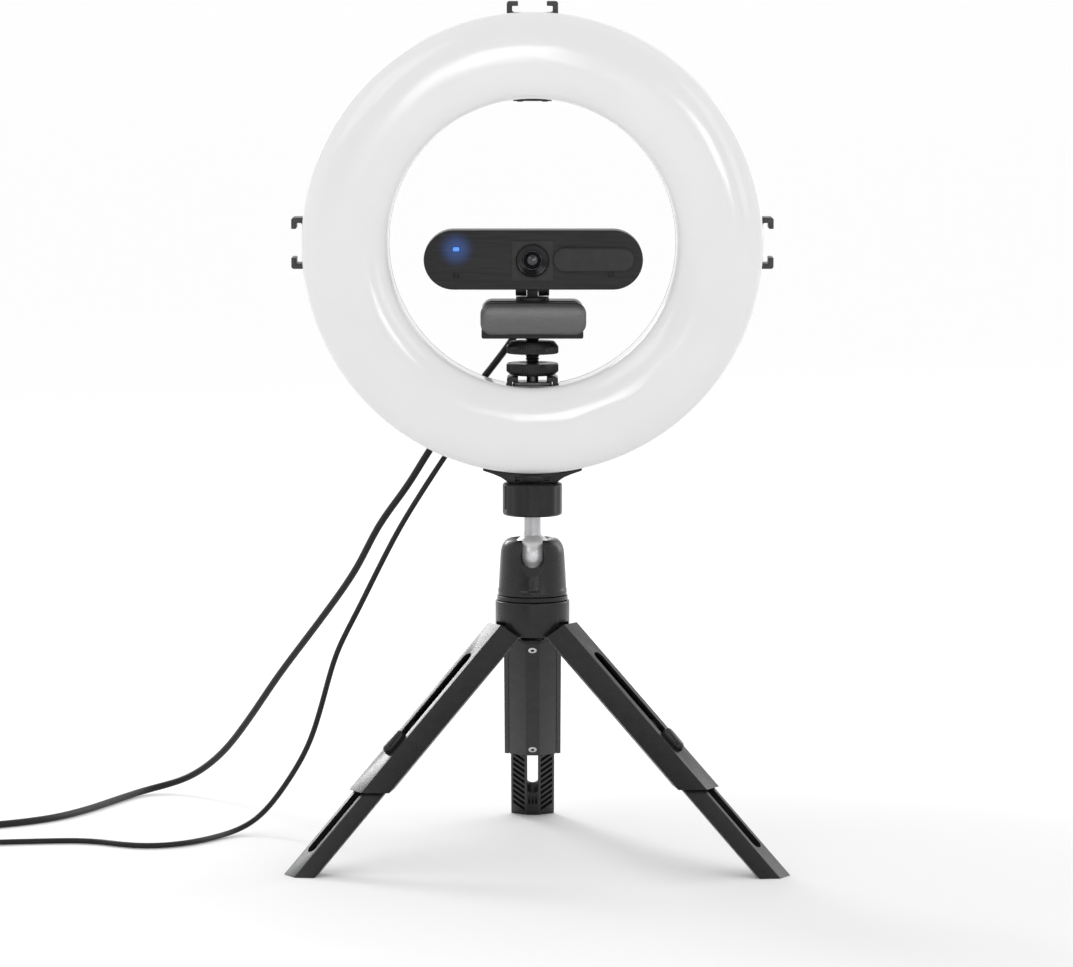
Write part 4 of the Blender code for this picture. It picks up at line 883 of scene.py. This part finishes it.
def make_clamp():
    outline = arc(0.8, 270, 360, 3, (21.6, 229.9)) + arc(4.6, 0, 90, 8, (17.8, 241.2))
    outline += arc(4.6, 90, 180, 8, (-17.8, 241.2)) + arc(0.8, 180, 270, 3, (-21.6, 229.9))
    block = soften(prism(outline, -4.0, 13.0), 0.5, 50, 3)
    lug = [(12.0, 241.0)] + arc(1.9, -60, 90, 8, JAW_HINGE) + [(12.0, 244.6)]
    ears = [prism(lug, *sorted((side * 18.6, side * 20.4)), "X") for side in (-1, 1)]
    block = combine(block, ears, "UNION")
    holes = [lathe([(0, 225), (3.4, 225), (3.4, 234.2), (0, 234.2)], 32, centre=(0, SCREW_Y, 0)),
             prism(circle(1.1, 16, JAW_HINGE), -24, 24, "X")]
    make("clamp_block", combine(block, holes), "clamp", "shell", "clamp_base", 30)
    loops = []
    for depth, shrink in ((-4.3, 0.0), (-6.0, 0.0), (-6.3, 0.1), (-6.55, 0.3), (-6.7, 0.6), (-6.8, 1.0),
                          (-6.85, 1.6), (-6.87, 2.4), (-6.88, 3.6), (-6.88, 5.0), (-6.88, 6.6)):
        radius = max(0.35, 5.0 - shrink)
        outline = rounded_box(PLATE_HALF[0] - shrink, PLATE_HALF[1] - shrink, radius, PLATE, 10)
        crown = 0.6 if depth < -6 else 0.0
        loops.append([Vector((u, depth - crown * (1 - ((v - PLATE[1]) / PLATE_HALF[1]) ** 2), v))
                      for u, v in outline])
    make("clamp_face", loft(loops), "clamp", "grey", "clamp_plate", 55)
    make("neck", soften(from_node("webcam_neck"), 0.2, 40), "clamp", "shell", "webcam_neck", 35)
    boss = prism(box(-2.4, 245.0, 4.4, 252.0), -2.42, 2.42, "X")
    saddle = prism(box(-3.0, 245.0, 5.0, 247.3), -7.2, 7.2, "X")
    boss = combine(boss, [prism(circle(3.4, 32, TILT_AXIS), -2.42, 2.42, "X"), saddle], "UNION")
    boss = combine(boss, [tilt_bore()])
    make("neck_saddle", soften(boss, 0.15, 50), "clamp", "shell", "webcam_neck", 35)
    make("jaw", soften(from_node("clamp_jaw"), 0.25, 40), "jaw", "shell", "clamp_jaw", 35)
    pad = soften(prism(rounded_box(14.5, 4.2, 1.0, (0, 235.0), 4), 15.6, 16.0), 0.15)
    make("jaw_pad", pad, "jaw", "plug")


def make_webcam():
    back, wall = 10.0, 1.6
    outside = [(-9.6, 0.35), (-9.3, 0.0), (2.6, 0.0)]
    outside += [(back - 6.4 + 6.4 * math.sin(math.radians(a)), 6.4 * (1 - math.cos(math.radians(a))))
                for a in range(8, 91, 9)]
    loops = [body_loop(depth, shrink) for depth, shrink in outside]
    bm = bmesh.new()
    rings = [[bm.verts.new(p) for p in loop] for loop in loops]
    inside = [body_loop(-9.6, wall), body_loop(back - 7.0, wall), body_loop(back - 3.0, 4.4),
              body_loop(back - 1.6, 8.0)]
    inner = [[bm.verts.new(p) for p in loop] for loop in inside]
    for first, second in list(zip(rings, rings[1:])) + list(zip(inner, inner[1:])) + [(rings[0], inner[0])]:
        stitch(bm, first, second)
    bm.faces.new(rings[-1])
    bm.faces.new(inner[-1])
    knuckle = soften(prism(circle(4.3, 40, TILT_AXIS), -7.4, 7.4, "X"), 0.35, 50)
    bm = combine(bm, [knuckle], "UNION")
    tools = [prism(box(-3.7, 246, 5.7, 256.6), -2.6, 2.6, "X"), tilt_bore()]
    for k in range(9):
        at = -34.0 + 2.6 * k
        tools.append(prism(box(at - 0.5, 259.5, at + 0.5, 267.5), 9.3, 12))
    make("webcam_case", combine(bm, tools), "webcam", "shell", "webcam_rear_shell", 28)

    front, rear = -12.0, -9.9
    loops = [body_loop(rear, 0.0), body_loop(front + 0.7, 0.0), body_loop(front + 0.3, 0.12),
             body_loop(front + 0.05, 0.45), body_loop(front, 0.9)]
    panel = loft(loops)
    led = (LED_AT[0], LED_AT[2])
    tools = [prism(circle(8.0, 64, (0, LENS_Z)), -15, -7),
             prism(rounded_box(1.7, 1.15, 0.7, led, 4), -15, -7),
             prism(pill(11.05, 0.8, (SLIDER[0] + 8 - 8.75, SLIDER[1]), 6), -15, -7)]
    for x, z in ((-34.15, 257.5), (-32.45, 257.5), (33.45, 258.0), (35.15, 258.0)):
        tools.append(prism([(v, u) for u, v in pill(1.2, 0.5, (z, x), 6)], -15, -11.0))
    for z in (258.75, 270.05):
        tools.append(prism(rounded_box(3.8, 0.16, 0.1, (14.6, z), 2), -15, -11.75))
    make("webcam_face", combine(panel, tools), "webcam", "panel", "webcam_front_panel", 28)
    bezel = prism(rounded_box(9.0, 8.7, 0.7, (0, LENS_Z), 4), -12.25, -11.6)
    bezel = combine(soften(bezel, 0.12, 50), [prism(circle(7.85, 64, (0, LENS_Z)), -15, -7)])
    make("lens_bezel", bezel, "webcam", "slider")

    def turned(profile, steps):
        return lathe(profile, steps, "Y", (0, 0, LENS_Z))

    barrel = [(7.75, -12.2), (7.75, -3.0), (4.2, -3.0), (4.2, -8.6), (4.5, -9.2), (5.1, -9.4), (5.15, -9.9),
              (5.9, -10.1), (5.95, -10.7), (6.7, -11.0), (6.95, -11.9), (7.25, -12.2)]
    make("barrel", turned(barrel, 72), "webcam", "lens", "lens_barrel", 30)
    ring = [(3.95, -9.1), (4.15, -9.1), (4.15, -8.4), (3.95, -8.4)]
    make("lens_ring", turned(ring, 64), "webcam", "dark_steel")
    bulge = [0.13 * k for k in range(1, 8)]
    glass = [(0, -9.9)] + [(3.85 * math.sin(a), -6.6 - 3.3 * math.cos(a)) for a in bulge]
    glass += [(3.85, -8.2), (3.85, -5.0), (0, -5.0)]
    make("lens", turned(glass, 64), "webcam", "glass", "lens_glass", 40)
    iris = [(0.55, -9.86), (1.5, -9.72), (1.6, -9.4), (0.5, -9.4)]
    make("iris", turned(iris, 48), "webcam", "dark_steel")

    slider = layers(lambda shrink: pill(17.7 - shrink, 5.15 - shrink, SLIDER, 16),
                    [(-12.3, 0.25), (-12.45, 0.0), (-13.1, 0.0), (-13.4, 0.12), (-13.55, 0.35), (-13.6, 0.7)])
    tongue = prism(pill(2.0, 0.5, (SLIDER[0] + 8, SLIDER[1]), 6), -12.8, -9.2)
    slider = combine(slider, [tongue], "UNION")
    make("slider_cover", slider, "slider", "slider", "privacy_slider", 35)
    lamp_face = soften(prism(rounded_box(1.45, 0.9, 0.5, led, 4), -12.05, -9.0), 0.15, 50)
    make("status_light", lamp_face, "webcam", "led", "status_led")
    axle = [(0, -6), (0.8, -6), (0.9, -5.9), (0.9, 5.9), (0.8, 6), (0, 6)]
    make("tilt_axle", lathe(axle, 32, "X", (0, *TILT_AXIS)), "webcam", "steel", "tilt_pin")
    axle = [(0, -20.6), (0.5, -20.6), (0.7, -20.4), (0.7, 20.4), (0.5, 20.6), (0, 20.6)]
    make("jaw_axle", lathe(axle, 24, "X", (0, *JAW_HINGE)), "clamp", "steel", "jaw_pin")


# ---- what is on the cords

WEBCAM_COIL, WEBCAM_PLUG = (-285.0, 80.0), (-307.6, 97.2)
LIGHT_COIL, LIGHT_PLUG = (-280.2, -95.8), (-300.4, -80.5)
WEBCAM_COIL_MIDDLE, LIGHT_COIL_MIDDLE = 17.65, 15.0     # radius at the middle of the turns
PLUG_MIDDLE, REMOTE_MIDDLE = 4.1, 5.4                   # heights of their axes
REMOTE = (-260.0, -46.5)


def relief_profile(thick, thin, length):
    profile = [(0, 0), (thick + 0.7, 0), (thick + 1.0, 0.3), (thick + 1.0, 1.2), (thick + 0.7, 1.6),
               (thick, 1.8)]
    for k in range(5):
        at = 2.2 + k * (length - 3.0) / 5
        radius = thick + (thin - thick) * at / length
        profile += [(radius, at), (radius, at + 0.75), (radius - 0.45, at + 0.9), (radius - 0.45, at + 1.25)]
    return profile + [(thin, length - 0.4), (thin - 0.2, length), (0, length)]


def make_glands():
    for name, thick, thin, at, body in (("webcam", 2.6, 2.0, (3.0, 10.3, 259.5), "webcam"),
                                        ("light", 2.3, 1.7, (-29.2, 14.3, 187.9), "ring_head")):
        relief = lathe(relief_profile(thick, thin, 11.0), 40, "Y", at)
        make(f"{name}_relief", relief, body, "cord", f"{name}_cord_gland", 25)


def flat_body(stations, middle, steps=6):
    loops = []
    for reach, half_wide, half_high in stations:
        outline = rounded_box(half_wide, half_high, 0.88 * half_high, (0, middle), steps)
        loops.append([Vector((reach, u, v)) for u, v in outline])
    return loft(loops)


def make_plug(name, node, at):
    place = shift(*at, 0) @ spin(90)
    stations = [(0, 2.0, 2.0), (2, 2.2, 2.2), (2.4, 1.8, 1.8), (3.2, 1.8, 1.8), (3.6, 2.4, 2.4),
                (5.4, 2.6, 2.5), (5.8, 2.0, 2.0), (6.6, 2.0, 2.0), (7.0, 2.8, 2.7), (9.0, 3.0, 2.9),
                (10.2, 4.6, 3.5), (11.2, 5.7, 3.8), (12.4, 6.0, 3.9), (32.2, 6.0, 3.9),
                (33.2, 5.8, 3.8), (34.0, 5.2, 3.3)]
    body = flat_body(stations, PLUG_MIDDLE)
    grips = [prism(rounded_box(0.5, 3.6, 0.3, (16 + 2.4 * k, 0), 3), 7.7, 9.5, "Z") for k in range(5)]
    plug = make(name, combine(body, grips), "base", "plug", node, 35, place)
    end = prism(rounded_box(6.0, 2.25, 0.5, (0, PLUG_MIDDLE), 3), 33.8, 46.0, "X")
    tools = [prism(rounded_box(5.6, 1.85, 0.3, (0, PLUG_MIDDLE), 3), 35.5, 50, "X")]
    tools += [prism(box(37.8, low, 40.2, low + 2.2), PLUG_MIDDLE, 9, "Z") for low in (1.4, -3.6)]
    shell = make(f"{name}_shell", combine(end, tools), "base", "screw", place=place)
    tongue = soften(prism(rounded_box(5.4, 0.8, 0.1, (0, 3.1), 2), 34.0, 45.6, "X"), 0.15)
    return [plug, shell, make(f"{name}_tongue", tongue, "base", "seat", place=place)]


def make_remote():
    place = shift(*REMOTE, 0) @ spin(-90)
    half = [(22.5, 8.0, 5.2), (24.2, 7.9, 5.15), (25.3, 7.4, 4.9), (25.9, 6.4, 4.4), (26.3, 3.2, 3.1),
            (27.2, 2.8, 2.8), (28.2, 2.7, 2.7), (28.5, 2.2, 2.2), (29.3, 2.2, 2.2), (29.6, 2.6, 2.6),
            (30.8, 2.4, 2.4), (31.1, 1.9, 1.9), (31.9, 1.9, 1.9), (32.2, 2.2, 2.2), (34.0, 2.0, 2.0)]
    body = flat_body([(-r, w, h) for r, w, h in reversed(half)] + half, REMOTE_MIDDLE)
    tools = [prism(pill(4.8, 3.3, (at, 0), 10), 7.0, 14, "Z") for at in (-14, 0, 14)]
    tools.append(prism(rounded_box(0.5, 4.2, 0.2, (21.0, 0), 2), 10.35, 14, "Z"))
    made = [make("remote_case", combine(body, tools), "base", "cord", "remote_shell", 32, place)]
    for at, name in ((-14, "power"), (0, "brighter"), (14, "dimmer")):
        key = layers(lambda shrink: pill(4.5 - shrink, 3.0 - shrink, (at, 0), 12),
                     [(8.1, 0.0), (10.9, 0.0), (11.3, 0.1), (11.55, 0.4), (11.7, 0.9)], "Z")
        made.append(make(f"remote_{name}_key", key, f"remote_{name}", "button", f"remote_button_{name}", 45,
                         place))
    return made


def stretches(name, points, diameter, chain, levels, nodes):
    """A cord in stretches, cut where it falls below each level: the earlier ones stay in place, and the last
    rides on the chain's end.
    """
    falls = [next(k for k, p in enumerate(points) if p.z < level) for level in levels]
    marks = [0] + falls + [len(points) - 1]
    for k, (first, last) in enumerate(zip(marks, marks[1:])):
        final = k == len(levels)
        body, stands_for = (chain[-1], nodes) if final else (None, ())
        cord = piece(f"{name}_{k + 1}", tube(points, diameter / 2, first, last), body, PAINTS["cord"],
                     stands_for, 50)
        if not final:
            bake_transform(cord)


def make_tie(name, centre, middle, half_wide, height, turn):
    """The band that holds a coil together."""
    loops = []
    for spread, low, along_by in ((0.55, 0.02, 2.0), (0.55, 0.02, -2.0), (0.15, 0.12, -2.0),
                                  (0.15, 0.12, 2.0)):
        top = height + spread - 0.1
        outline = rounded_box(half_wide + spread, (top - low) / 2, 1.5, (middle, (top + low) / 2), 5)
        loops.append([Vector((u, along_by, v)) for u, v in outline])
    return make(name, loft(loops, closed=True), "base", "plug", place=shift(*centre, 0) @ spin(turn))


def relaxed(points, passes=14):
    """The same line with its small waves taken out; its ends stay."""
    for _ in range(passes):
        inner = [(a + 2 * b + c) / 4 for a, b, c in zip(points, points[1:], points[2:])]
        points = [points[0]] + inner + [points[-1]]
    return points


def with_coil(route, coil, plug):
    """A route on into its coil and from there into the plug."""
    last = Vector((*plug, PLUG_MIDDLE))
    run_up = relaxed(smooth_route(route + [coil[0]], 3.0))
    rest = smooth_route([coil[-1], coil[-1].lerp(last, 0.5), last], 3.0)
    return run_up + coil[1:] + rest[1:]


def make_cords():
    plug = make_plug("webcam_usb", "webcam_plug", WEBCAM_PLUG)
    tie = make_tie("webcam_tie", WEBCAM_COIL, WEBCAM_COIL_MIDDLE, 6.6, 6.8, 80)
    coil = coil_points(WEBCAM_COIL, WEBCAM_COIL_MIDDLE, 3.3, 4, (1.75, 5.05), -90, 180)
    points = with_coil(WEBCAM_ROUTE, coil, WEBCAM_PLUG)
    chain = ("webcam", "clamp", "adapter", "ring_head", "ball", "lock_sleeve", "base")
    stretches("webcam_lead", points, WEBCAM_CORD, chain, (236, 209, 182, 141, 101, 20),
              ("webcam_cord", "webcam_coil"))

    pieces_on = make_remote() + make_plug("light_usb", "light_plug", LIGHT_PLUG)
    pieces_on.append(make_tie("light_tie", LIGHT_COIL, LIGHT_COIL_MIDDLE, 6.5, 5.4, -80))
    coil = coil_points(LIGHT_COIL, LIGHT_COIL_MIDDLE, 2.6, 5, (1.4, 4.0), 0, 180)
    points = with_coil(LIGHT_ROUTE + BEHIND_REMOTE, coil, LIGHT_PLUG)
    stretches("light_lead", points, LIGHT_CORD, chain[3:], (145, 104, 20), ("light_cord", "light_coil"))


# ---- all of it

def repaint(node, paint):
    """A CAD node whose shape is right gets its better material."""
    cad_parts[node].material_slots[0].material = PAINTS[paint]


set_camera()
make_stage()
make_diffuser()
make_housing()
make_shoes()
make_bracket()
make_ball_head()
make_crown()
for number, (turn, angle) in enumerate(zip(LEG_TURNS, LEG_ANGLES), 1):
    make_leg(number, turn, angle)
    repaint(f"leg_{number}_pin", "steel")
repaint("led_board", "board")
make_adapter()
make_clamp()
make_webcam()
make_glands()
make_cords()
